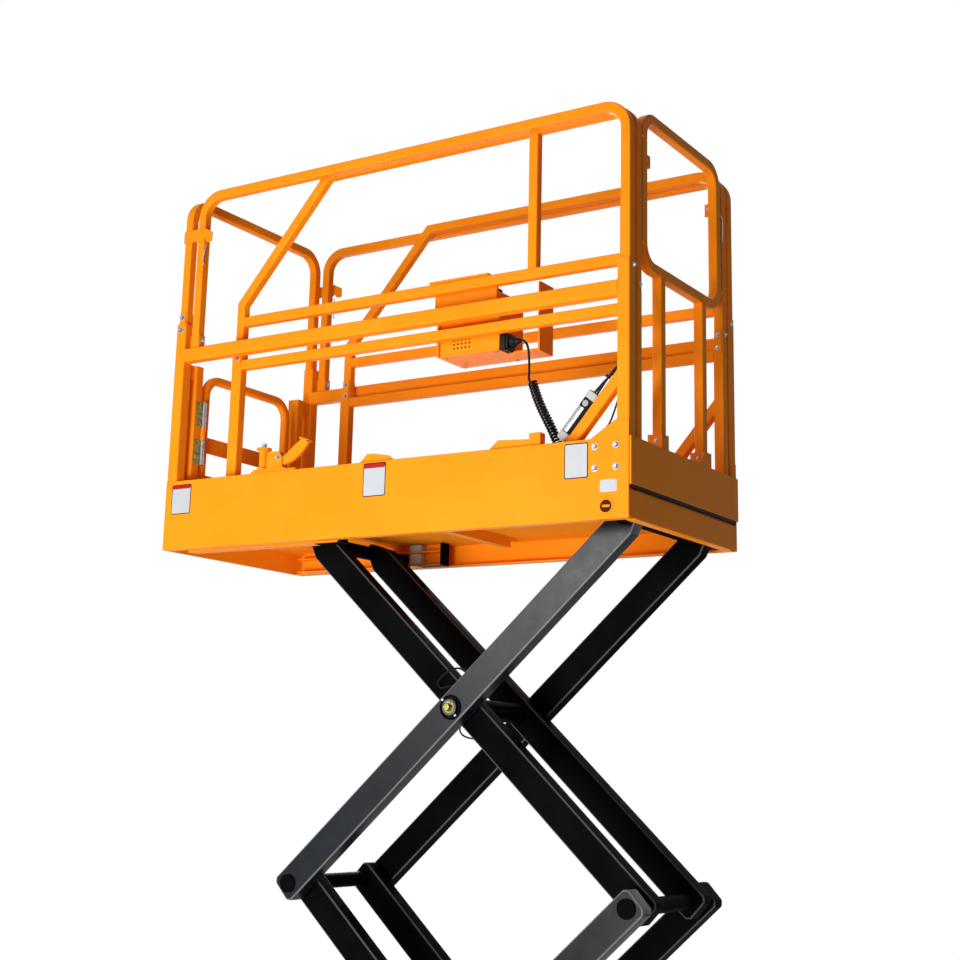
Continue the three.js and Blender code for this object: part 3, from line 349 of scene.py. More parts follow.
def hex_bolt(at: Point, axis: Point, size: float, washer: bool = True) -> list[Shell]:
    """A hexagon head on its washer: the head's top is cut back by a cone.

    Args:
        at: Point on the surface under the washer.
        axis: Direction away from the surface.
        size: Half of the head's width across its corners.
        washer: Whether a washer lies under the head.

    Returns:
        The shells of head and washer.
    """
    r = size
    lift = 0.22 * r if washer else 0.0
    head = turned(np.array([(r, lift), (r, lift + 0.95 * r), (0.86 * r, lift + 1.15 * r),
                            (0.3 * r, lift + 1.15 * r)]), at, axis, 6)
    if not washer:
        return [head]
    flat = turned(np.array([(1.45 * r, 0), (1.5 * r, 0.05 * r), (1.5 * r, 0.17 * r), (1.45 * r, 0.22 * r),
                            (0.3 * r, 0.22 * r)]), at, axis, 20)
    return [head, flat]


def build_piece(name: str, shells: list[Shell], finishes: list["Finish"], body: str,
                stands_for: tuple[str, ...] = ()) -> bpy.types.Object:
    """Put shells into one mesh object at the origin, hang it on its body and hide the nodes that it stands
    for.

    Args:
        name: Name of the piece.
        shells: Closed surfaces, each with the number of its finish.
        finishes: Finishes in the order of those numbers.
        body: Body that the piece moves with.
        stands_for: Nodes of the frame that the piece replaces.

    Returns:
        The new object.
    """
    starts = np.cumsum([0] + [len(s.points) for s in shells[:-1]])
    points = np.concatenate([s.points for s in shells])
    faces, numbers = [], []
    for start, shell in zip(starts.tolist(), shells):
        faces += (shell.quads + start).tolist() + [[i + start for i in cap] for cap in shell.caps]
        numbers += [shell.finish] * (len(shell.quads) + len(shell.caps))
    mesh = bpy.data.meshes.new(name)
    mesh.from_pydata(points.tolist(), [], faces)
    for finish in finishes:
        mesh.materials.append(finish.material())
    mesh.polygons.foreach_set("material_index", numbers)
    mesh.polygons.foreach_set("use_smooth", [True] * len(faces))
    mesh.attributes.new("edge", "FLOAT", "POINT").data.foreach_set(
        "value", np.concatenate([s.edge for s in shells]).astype(np.float32))
    mesh.update()
    mesh.set_sharp_from_angle(angle=math.radians(50))
    obj = bpy.data.objects.new(name, mesh)
    bpy.context.scene.collection.objects.link(obj)
    even = obj.modifiers.new("even_normals", "WEIGHTED_NORMAL")
    even.keep_sharp = True
    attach(obj, body)
    if stands_for:
        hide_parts(*stands_for)
    log.info("%s: %d faces", name, len(faces))
    return obj


def softened(node: str, finish: "Finish", body: str, width: float = 0.0012) -> bpy.types.Object:
    """Stand a copy of a node with rounded edges in its place.

    Args:
        node: Node of the frame.
        finish: Its finish.
        body: Body that it moves with.
        width: Width of the rounding.

    Returns:
        The copy, merged, with its flat faces made whole and its edges bevelled.
    """
    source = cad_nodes()[node]
    mesh = source.data.copy()
    mesh.name = f"{node}_finished"
    shape = bmesh.new()
    shape.from_mesh(mesh)
    bmesh.ops.remove_doubles(shape, verts=shape.verts, dist=1e-6)
    bmesh.ops.dissolve_limit(shape, angle_limit=math.radians(1), verts=shape.verts, edges=shape.edges)
    shape.to_mesh(mesh)
    shape.free()
    mesh.materials.clear()
    mesh.materials.append(finish.material())
    mesh.polygons.foreach_set("use_smooth", [True] * len(mesh.polygons))
    mesh.polygons.foreach_set("material_index", [0] * len(mesh.polygons))
    mesh.set_sharp_from_angle(angle=math.radians(40))
    obj = bpy.data.objects.new(f"{node}_finished", mesh)
    bpy.context.scene.collection.objects.link(obj)
    bevel = obj.modifiers.new("rounded_edges", "BEVEL")
    bevel.width = width
    bevel.segments = 2
    bevel.limit_method = "ANGLE"
    bevel.angle_limit = math.radians(40)
    bevel.use_clamp_overlap = True
    bevel.harden_normals = False
    even = obj.modifiers.new("even_normals", "WEIGHTED_NORMAL")
    even.keep_sharp = True
    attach(obj, body)
    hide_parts(node)
    log.info("%s: rounded copy", node)
    return obj


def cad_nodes() -> dict[str, bpy.types.Object]:
    """The frame's nodes by name."""
    return FRAME["nodes"]


# ------------------------------------------------------------------- finishes
class Recipe:
    """A node tree with short ways to add nodes to it and join them."""

    def __init__(self, name: str) -> None:
        """Start a material with a bare Principled shader."""
        self.material = bpy.data.materials.new(name)
        self.material.use_nodes = True
        self.tree = self.material.node_tree
        self.shader = self.tree.nodes["Principled BSDF"]
        self.place = self.tree.nodes.new("ShaderNodeTexCoord").outputs["Object"]

    def node(self, kind: str, **settings: object) -> bpy.types.Node:
        """Add a node of a kind; settings name its properties."""
        made = self.tree.nodes.new(f"ShaderNode{kind}")
        for name, value in settings.items():
            setattr(made, name, value)
        return made

    def link(self, source: bpy.types.NodeSocket, target: bpy.types.NodeSocket) -> None:
        """Join an output to an input."""
        self.tree.links.new(source, target)

    def noise(self, scale: float, detail: float = 4.0, roughness: float = 0.55,
              stretch: Point = (1, 1, 1)) -> bpy.types.NodeSocket:
        """Noise over the object's own coordinates.

        Args:
            scale: Cells a metre.
            detail: Octaves.
            roughness: Strength of the finer octaves.
            stretch: Scale of each axis.

        Returns:
            The noise's value, about 0.3 to 0.7.
        """
        mapping = self.node("Mapping")
        mapping.inputs["Scale"].default_value = stretch
        self.link(self.place, mapping.inputs["Vector"])
        made = self.node("TexNoise")
        made.inputs["Scale"].default_value = scale
        made.inputs["Detail"].default_value = detail
        made.inputs["Roughness"].default_value = roughness
        self.link(mapping.outputs["Vector"], made.inputs["Vector"])
        return made.outputs["Fac"]

    def span(self, value: bpy.types.NodeSocket, source: Span, target: Span) -> bpy.types.NodeSocket:
        """Map a value from one range to another, clamped.

        Args:
            value: The value.
            source: Its range.
            target: The range that it gets.

        Returns:
            The mapped value.
        """
        made = self.node("MapRange")
        for name, number in zip(("From Min", "From Max", "To Min", "To Max"), (*source, *target)):
            made.inputs[name].default_value = number
        self.link(value, made.inputs["Value"])
        return made.outputs["Result"]

    def maths(self, operation: str, a: bpy.types.NodeSocket,
              b: bpy.types.NodeSocket | float) -> bpy.types.NodeSocket:
        """Join two values by an operation.

        Args:
            operation: Name of the operation.
            a: First value.
            b: Second value, a socket or a number.

        Returns:
            The result.
        """
        made = self.node("Math", operation=operation)
        self.link(a, made.inputs[0])
        if isinstance(b, float):
            made.inputs[1].default_value = b
        else:
            self.link(b, made.inputs[1])
        return made.outputs[0]

    def mix(self, factor: bpy.types.NodeSocket, a: object, b: object) -> bpy.types.NodeSocket:
        """Mix two colours.

        Args:
            factor: Share of the second.
            a: First colour, a socket or a tuple.
            b: Second colour, a socket or a tuple.

        Returns:
            The mixed colour.
        """
        made = self.node("Mix", data_type="RGBA")
        self.link(factor, made.inputs[0])
        for socket, colour in ((made.inputs[6], a), (made.inputs[7], b)):
            if isinstance(colour, tuple):
                socket.default_value = (*colour, 1.0)
            else:
                self.link(colour, socket)
        return made.outputs[2]

    def edges(self) -> bpy.types.NodeSocket:
        """How much of an edge the surface is, from the piece's own attribute."""
        return self.node("Attribute", attribute_name="edge", attribute_type="GEOMETRY").outputs["Fac"]

    def height(self) -> bpy.types.NodeSocket:
        """Height of the surface over the floor, with the lift at rest."""
        apart = self.node("SeparateXYZ")
        self.link(self.place, apart.inputs[0])
        return apart.outputs["Z"]

    def relief(self, value: bpy.types.NodeSocket, strength: float, distance: float) -> None:
        """Lead a height to the shader's normal through a bump.

        Args:
            value: The height.
            strength: Share of the bump.
            distance: Its depth in metres.
        """
        bump = self.node("Bump")
        bump.inputs["Strength"].default_value = strength
        bump.inputs["Distance"].default_value = distance
        self.link(value, bump.inputs["Height"])
        self.link(bump.outputs["Normal"], self.shader.inputs["Normal"])

    def plain(self, **values: object) -> None:
        """Set numbers on the shader's own sockets by their names, _ for a space."""
        for name, value in values.items():
            self.shader.inputs[name.replace("_", " ")].default_value = value


@dataclass(frozen=True)
class Paint:
    """Sprayed paint over steel: cloudy tone, fine orange-peel relief, and lighter edges that are wear and, on
    the black paints, also painted highlight.
    """

    name: str
    colour: Point
    cloud: Point
    wear_and_highlight: Point
    gloss: Span
    sheen: float
    dust: float = 0.25
    coat: float = 0.0
    chips_and_highlight: Span = (0.5, 0.62)

    def build(self) -> bpy.types.Material:
        """Make the paint's material."""
        r = Recipe(self.name)
        tone = r.mix(r.span(r.noise(5.0, 3.0), (0.35, 0.65), (0.0, 1.0)), self.colour, self.cloud)
        # Edges lighten where the noise allows: wear on most paints, and on the black paints a painted
        # highlight along the chamfers.
        chips_and_highlight = r.span(r.noise(160.0, 5.0, 0.7), self.chips_and_highlight, (0.0, 1.0))
        wear_and_highlight = r.maths("MULTIPLY", r.maths("MULTIPLY", r.edges(), chips_and_highlight), 0.75)
        tone = r.mix(wear_and_highlight, tone, self.wear_and_highlight)
        low = r.span(r.height(), (0.05, 0.45), (1.0, 0.0))
        spots = r.span(r.noise(26.0, 6.0, 0.7), (0.42, 0.7), (0.15, 1.0))
        dusty = r.maths("MULTIPLY", r.maths("MULTIPLY", low, spots), self.dust)
        r.link(r.mix(dusty, tone, (0.36, 0.33, 0.29)), r.shader.inputs["Base Color"])
        r.link(r.span(r.noise(34.0, 5.0, 0.65), (0.3, 0.7), self.gloss), r.shader.inputs["Roughness"])
        r.relief(r.noise(420.0, 2.0), 0.10, 0.0006)
        r.plain(Coat_Weight=self.coat, Coat_Roughness=0.12, Specular_IOR_Level=self.sheen)
        return r.material


@dataclass(frozen=True)
class Metal:
    """Bare or plated metal: brushed or mottled tone and roughness."""

    name: str
    colour: Point
    shade: Point
    gloss: Span
    grain: Point = (1, 1, 1)
    scale: float = 90.0

    def build(self) -> bpy.types.Material:
        """Make the metal's material."""
        r = Recipe(self.name)
        grain = r.noise(self.scale, 5.0, 0.65, self.grain)
        r.link(r.mix(r.span(grain, (0.35, 0.65), (0.0, 1.0)), self.colour, self.shade),
               r.shader.inputs["Base Color"])
        r.link(r.span(grain, (0.3, 0.7), self.gloss), r.shader.inputs["Roughness"])
        r.relief(grain, 0.15, 0.0003)
        r.plain(Metallic=1.0)
        return r.material


@dataclass(frozen=True)
class Moulded:
    """Moulded plastic or rubber: fine pebble relief and a dry sheen."""

    name: str
    colour: Point
    cloud: Point
    gloss: Span
    pebble: float = 700.0
    depth: float = 0.0003
    dust: float = 0.2
    sheen: float = 0.3

    def build(self) -> bpy.types.Material:
        """Make the plastic's or the rubber's material."""
        r = Recipe(self.name)
        tone = r.mix(r.span(r.noise(12.0, 4.0), (0.35, 0.65), (0.0, 1.0)), self.colour, self.cloud)
        low = r.span(r.height(), (0.02, 0.5), (1.0, 0.0))
        dusty = r.maths("MULTIPLY",
                        r.maths("MULTIPLY", low, r.span(r.noise(40.0, 6.0, 0.7), (0.4, 0.7), (0.1, 1.0))),
                        self.dust)
        r.link(r.mix(dusty, tone, (0.34, 0.31, 0.27)), r.shader.inputs["Base Color"])
        r.link(r.span(r.noise(60.0, 4.0), (0.3, 0.7), self.gloss), r.shader.inputs["Roughness"])
        r.relief(r.noise(self.pebble, 2.0), 0.35, self.depth)
        r.plain(Specular_IOR_Level=self.sheen)
        return r.material


@dataclass(frozen=True)
class Clear:
    """Clear plastic of the canister, a little frosted by handling."""

    name: str
    colour: Point
    gloss: Span

    def build(self) -> bpy.types.Material:
        """Make the clear plastic's material."""
        r = Recipe(self.name)
        smear = r.noise(55.0, 5.0, 0.7)
        r.link(r.mix(smear, self.colour, tuple(0.85 * c for c in self.colour)), r.shader.inputs["Base Color"])
        r.link(r.span(smear, (0.3, 0.7), self.gloss), r.shader.inputs["Roughness"])
        r.relief(smear, 0.1, 0.0004)
        r.plain(Transmission_Weight=0.55, IOR=1.45)
        return r.material


class Finish(Enum):
    """The finishes of the lift's pieces."""

    ORANGE = Paint("orange_paint", (0.93, 0.258, 0.008), (0.95, 0.284, 0.011), (0.94, 0.42, 0.10),
                   (0.30, 0.42), 0.02, 0.10)
    # Its pale edge colour is painted highlight along the chamfers as well as wear.
    BLACK = Paint("black_paint", (0.0018, 0.0019, 0.0022), (0.0034, 0.0035, 0.0040), (0.13, 0.135, 0.14),
                  (0.30, 0.42), 0.004,
                  0.06, 0.0, (0.05, 0.45))
    # A lit copy of the black paint, lighter, glossier and with brighter edges, for the near outer arm alone:
    # painted highlight.
    NEAR_ARM_LIT_BLACK = Paint("near_arm_lit_black_paint", (0.0022, 0.0032, 0.0048), (0.0056, 0.0080, 0.0110),
                        (0.20, 0.21, 0.22), (0.26, 0.34), 0.24, 0.06, 0.0, (0.05, 0.45))
    # Flat dark red that stands in for the shade inside a socket hole: painted shade.
    SOCKET_PAINTED_SHADE = Paint("shaded_hollow", (0.065, 0.006, 0.001), (0.045, 0.004, 0.001), (0.1, 0.02, 0.01),
                   (0.4, 0.5), 0.05)
    # Flat black for plate rims and cables; it also paints shade on the vent holes, the front gap and the
    # canister's side.
    RIM = Paint("plate_rim", (0.010, 0.010, 0.012), (0.014, 0.014, 0.016), (0.02, 0.02, 0.02), (0.4, 0.5),
                0.02, 0.0)
    GREY = Paint("grey_paint", (0.30, 0.31, 0.32), (0.34, 0.345, 0.35), (0.6, 0.6, 0.6), (0.34, 0.5), 0.3,
                 0.4)
    LABEL = Paint("label_face", (0.48, 0.50, 0.53), (0.45, 0.47, 0.50), (0.5, 0.5, 0.5), (0.30, 0.42), 0.1,
                  0.0)
    LABEL_RED = Paint("label_band", (0.40, 0.012, 0.008), (0.34, 0.010, 0.007), (0.7, 0.2, 0.2), (0.30, 0.42),
                      0.1, 0.0)
    ZINC = Metal("zinc_plate", (0.40, 0.41, 0.43), (0.26, 0.27, 0.29), (0.42, 0.60))
    CHROME = Metal("polished_rod", (0.80, 0.81, 0.83), (0.74, 0.75, 0.77), (0.06, 0.14), (1, 1, 6))
    BRASS = Metal("yellow_plated_bolt", (0.38, 0.33, 0.10), (0.11, 0.10, 0.035), (0.34, 0.52))
    DARK_STEEL = Metal("dark_steel", (0.085, 0.088, 0.095), (0.045, 0.047, 0.052), (0.36, 0.52))
    TYRE = Moulded("grey_rubber", (0.072, 0.072, 0.075), (0.088, 0.088, 0.090), (0.62, 0.8), 500.0, 0.0005,
                   0.3, 0.2)
    PLASTIC = Moulded("black_plastic", (0.0045, 0.0045, 0.0052), (0.0080, 0.0080, 0.0090), (0.38, 0.55),
                      700.0, 0.0003, 0.1, 0.14)
    CORD = Moulded("cord_jacket", (0.0040, 0.0040, 0.0044), (0.0060, 0.0060, 0.0066), (0.30, 0.42), 900.0,
                   0.00015, 0.1, 0.16)
    RED = Moulded("red_plastic", (0.60, 0.018, 0.012), (0.52, 0.015, 0.012), (0.28, 0.4))
    WHITE = Moulded("pale_plastic", (0.50, 0.48, 0.42), (0.42, 0.40, 0.35), (0.45, 0.6))
    CLEAR = Clear("clear_plastic", (0.50, 0.54, 0.56), (0.18, 0.32))

    def material(self) -> bpy.types.Material:
        """The finish's material, made once."""
        return bpy.data.materials.get(self.value.name) or self.value.build()


# ---------------------------------------------------------------------- places
@dataclass(frozen=True)
class Site:
    """The platform's own coordinates: x from its rear end, z from under its skirts."""

    x0: float
    z0: float

    def at(self, x: float, y: float, z: float) -> Point:
        """A point of the platform in the shared frame."""
        return (self.x0 + x, y, self.z0 + z)

    def line(self, points: list[Point]) -> Array:
        """Points of the platform in the shared frame."""
        return np.asarray(points, float) + (self.x0, 0.0, self.z0)

    def xz(self, outline: list[tuple[float, float]] | Array) -> Array:
        """An outline in x and z in the shared frame."""
        return np.asarray(outline, float) + (self.x0, self.z0)

    def x(self, low: float, high: float) -> Span:
        """A span of x in the shared frame."""
        return (self.x0 + low, self.x0 + high)

    def z(self, low: float, high: float) -> Span:
        """A span of z in the shared frame."""
        return (self.z0 + low, self.z0 + high)

    def block(self, x: Span, y: Span, z: Span, edge: float = 0.0012, corner: float = 0.0012) -> Shell:
        """A rounded box of the platform.

        Args:
            x: Span along the platform.
            y: Span across it.
            z: Span of height.
            edge: Rounding of the top and bottom edges.
            corner: Rounding of the upright edges.

        Returns:
            The closed box.
        """
        low, high = self.at(x[0], y[0], z[0]), self.at(x[1], y[1], z[1])
        return block(low, high, edge, corner)


def mirrored(side: int, span: Span) -> Span:
    """A span of y on the far side (1), or mirrored to the near side (-1)."""
    return span if side > 0 else (-span[1], -span[0])


SIDES = ((-1, "near"), (1, "far"))


# ---------------------------------------------------------------------- studio
@dataclass
class Studio:
    """Camera, floor, soft lamps and the white surroundings."""

    eye: Point = (2.688, -4.056, 1.713)
    right: Point = (0.83782, 0.54531, 0.02638)
    down: Point = (-0.09799, 0.19773, -0.97535)
    ahead: Point = (-0.53708, 0.81458, 0.21910)
    lens: float = 59.575
    shift: Span = (0.0334, -0.0659)
    floor_radius: float = 9.0

    def camera(self) -> None:
        """Set up the camera low in front of the near corner, looking up at the platform."""
        data = bpy.data.cameras.new("camera")
        data.lens = self.lens
        data.sensor_width = 36.0
        data.shift_x, data.shift_y = self.shift
        data.clip_end = 60.0
        turn = Matrix((self.right, [-v for v in self.down], [-v for v in self.ahead])).transposed()
        obj = bpy.data.objects.new("camera", data)
        obj.matrix_world = Matrix.Translation(self.eye) @ turn.to_4x4()
        bpy.context.scene.collection.objects.link(obj)
        bpy.context.scene.camera = obj

    def lamp(self, name: str, place: Point, target: Point, size: float, power: float,
             colour: Point = (1, 1, 1)) -> None:
        """Hang a square lamp that faces a point.

        Args:
            name: Name of the lamp.
            place: Where it hangs.
            target: What it faces.
            size: Side of the square.
            power: Power in watts.
            colour: Colour of its light.
        """
        data = bpy.data.lights.new(name, "AREA")
        data.size = size
        data.energy = power
        data.color = colour
        obj = bpy.data.objects.new(name, data)
        aim = (Vector(target) - Vector(place)).to_track_quat("-Z", "Y")
        obj.matrix_world = Matrix.Translation(place) @ aim.to_matrix().to_4x4()
        bpy.context.scene.collection.objects.link(obj)

    def floor(self) -> None:
        """Lay a pale round floor that takes the lift's shadow."""
        turn = np.linspace(0, 2 * np.pi, 96, endpoint=False)
        disc = np.stack([np.cos(turn), np.sin(turn), np.zeros(96)], 1) * self.floor_radius
        mesh = bpy.data.meshes.new("floor")
        mesh.from_pydata(disc.tolist(), [], [list(range(96))])
        obj = bpy.data.objects.new("floor", mesh)
        bpy.context.scene.collection.objects.link(obj)
        r = Recipe("pale_floor")
        tone = r.mix(r.span(r.noise(0.6, 3.0), (0.3, 0.7), (0.0, 1.0)), (0.80, 0.80, 0.80),
                     (0.84, 0.84, 0.83))
        r.link(tone, r.shader.inputs["Base Color"])
        r.plain(Roughness=0.75)
        mesh.materials.append(r.material)

    def surroundings(self) -> None:
        """White to the camera and in gloss and glass, a plain grey light for the rest."""
        world = bpy.data.worlds.new("studio")
        bpy.context.scene.world = world
        world.use_nodes = True
        tree = world.node_tree
        light = tree.nodes["Background"]
        light.inputs["Color"].default_value = (1, 1, 1, 1)
        light.inputs["Strength"].default_value = 0.12
        white = tree.nodes.new("ShaderNodeBackground")
        white.inputs["Strength"].default_value = 1.0
        white.inputs["Color"].default_value = (1, 1, 1, 1)
        path = tree.nodes.new("ShaderNodeLightPath")
        seen = tree.nodes.new("ShaderNodeMath")
        seen.operation = "MAXIMUM"
        tree.links.new(path.outputs["Is Camera Ray"], seen.inputs[0])
        tree.links.new(path.outputs["Is Glossy Ray"], seen.inputs[1])
        any_ = tree.nodes.new("ShaderNodeMath")
        any_.operation = "MAXIMUM"
        tree.links.new(seen.outputs[0], any_.inputs[0])
        tree.links.new(path.outputs["Is Transmission Ray"], any_.inputs[1])
        mix = tree.nodes.new("ShaderNodeMixShader")
        tree.links.new(any_.outputs[0], mix.inputs[0])
        tree.links.new(light.outputs[0], mix.inputs[1])
        tree.links.new(white.outputs[0], mix.inputs[2])
        tree.links.new(mix.outputs[0], tree.nodes["World Output"].inputs["Surface"])

    def build(self) -> None:
        """Set up the whole studio."""
        scene = bpy.context.scene
        scene.view_settings.view_transform = "Standard"
        self.camera()
        self.lamp("key_lamp", (-1.9, -5.3, 3.1), (0.15, 0.0, 2.5), 1.8, 120.0, (1.0, 0.99, 0.97))
        self.lamp("top_lamp", (-1.2, 0.6, 6.4), (0.0, 0.0, 2.4), 2.6, 60.0)
        self.lamp("low_lamp", (0.5, -3.9, 0.82), (0.1, 0.2, 2.3), 1.5, 170.0)
        self.lamp("back_lamp", (-2.6, 4.6, 3.4), (0.0, 0.0, 1.9), 2.4, 130.0)
        self.floor()
        self.surroundings()
        log.info("studio: camera, four lamps, floor")


# ------------------------------------------------------------------ curly cord
@dataclass
class CurlyCord:
    """The curly cord from the control box's connector down to its gland on the deck."""

    site: Site
    radius: float = 0.0036
    coil: float = 0.0112
    turns: int = 36
    per_turn: int = 14
    lead: list[Point] = field(default_factory=lambda: [
        (1.2392, -0.232, 0.5620), (1.2470, -0.232, 0.5618), (1.2580, -0.232, 0.550), (1.2650, -0.232, 0.524),
        (1.2672, -0.232, 0.480), (1.2668, -0.232, 0.445)])
    middle: list[Point] = field(default_factory=lambda: [
        (1.278, -0.232, 0.442), (1.280, -0.232, 0.430), (1.304, -0.230, 0.365), (1.352, -0.220, 0.262),
        (1.385, -0.200, 0.145), (1.385, -0.200, 0.1135)])

    def helix(self) -> Array:
        """Wind the cord about the coil's middle line m(s).

        Returns:
            The lead, then m(s) - a (cos t u + sin t w), with u and w square to the line, the
            angle t gaining speed in the first turn and a fading to 0 in the last two.
        """
        middle = smooth_line(self.site.line(self.middle), 24)
        walked = np.concatenate([[0], np.cumsum(np.linalg.norm(np.diff(middle, axis=0), axis=1))])
        s = np.linspace(0, 1, self.turns * self.per_turn + 1)
        at = np.stack([np.interp(s * walked[-1], walked, middle[:, k]) for k in range(3)], 1)
        along = np.gradient(at, axis=0)
        along /= np.linalg.norm(along, axis=1)[:, None]
        u = np.cross(along, (0.0, 1.0, 0.0))
        u /= np.linalg.norm(u, axis=1)[:, None]
        w = np.cross(along, u)
        rate = np.clip(np.minimum(s, 1 - s) * self.turns / 1.2, 0, 1)
        turn = 2 * np.pi * self.turns * np.cumsum(rate) / np.sum(rate)
        fade = np.clip((1 - s) * self.turns / 2.5, 0, 1)
        wide = self.coil * fade**2 * (3 - 2 * fade)
        wound = at - wide[:, None] * (np.cos(turn)[:, None] * u + np.sin(turn)[:, None] * w)
        return np.concatenate([smooth_line(self.site.line(self.lead), 6)[:-1], wound])

    def build(self) -> None:
        """Make the cord and its foot sleeve."""
        path = self.helix()
        cord = build_piece("curly_cord", [wire(path, self.radius, 10)], [Finish.CORD], "extension",
                           ("curly_cord_lead", "curly_cord_coil"))
        gland = build_piece("cord_foot_sleeve", [turned(np.array([
            (0.0195, 0.0), (0.0198, 0.0008), (0.0198, 0.009), (0.0160, 0.0105), (0.0130, 0.012),
                                                                  (0.0115, 0.020),
            (0.0085, 0.030), (0.0048, 0.0312), (0.0040, 0.0312)]),
            self.site.at(1.385, -0.200, 0.0806), (0, 0, 1), 24)], [Finish.PLASTIC], "extension",
            ("cord_gland",))


# ----------------------------------------------------------------- guard rails
def weld(points: Array, radius: float = 0.0022) -> Shell:
    """A weld bead along a closed or open line of points, sampled every few millimetres.

    Args:
        points: Line of the joint, shaped (n, 3).
        radius: Mean radius of the bead.

    Returns:
        The closed bead.
    """
    line = np.asarray(points, float)
    walked = np.concatenate([[0], np.cumsum(np.linalg.norm(np.diff(line, axis=0), axis=1))])
    count = max(6, int(walked[-1] / 0.003))
    s = np.linspace(0, walked[-1], count)
    dense = np.stack([np.interp(s, walked, line[:, k]) for k in range(3)], 1)
    return wire(dense, radius, 6)


def weld_round(centre: Point, size: Span, plane: Plane, radius: float = 0.0022) -> Shell:
    """A weld bead round the foot of a square tube.

    Args:
        centre: Middle of the tube's foot.
        size: The tube's two sizes in the plane.
        plane: Plane of the foot.
        radius: Radius of the bead.

    Returns:
        The closed bead.
    """
    loop = box_section(size[0], size[1], 0.004)
    loop = np.concatenate([loop, loop[:1]])
    points = np.tile(np.asarray(centre, float), (len(loop), 1))
    points[:, plane.value[0]] += loop[:, 0]
    points[:, plane.value[1]] += loop[:, 1]
    return weld(points, radius)


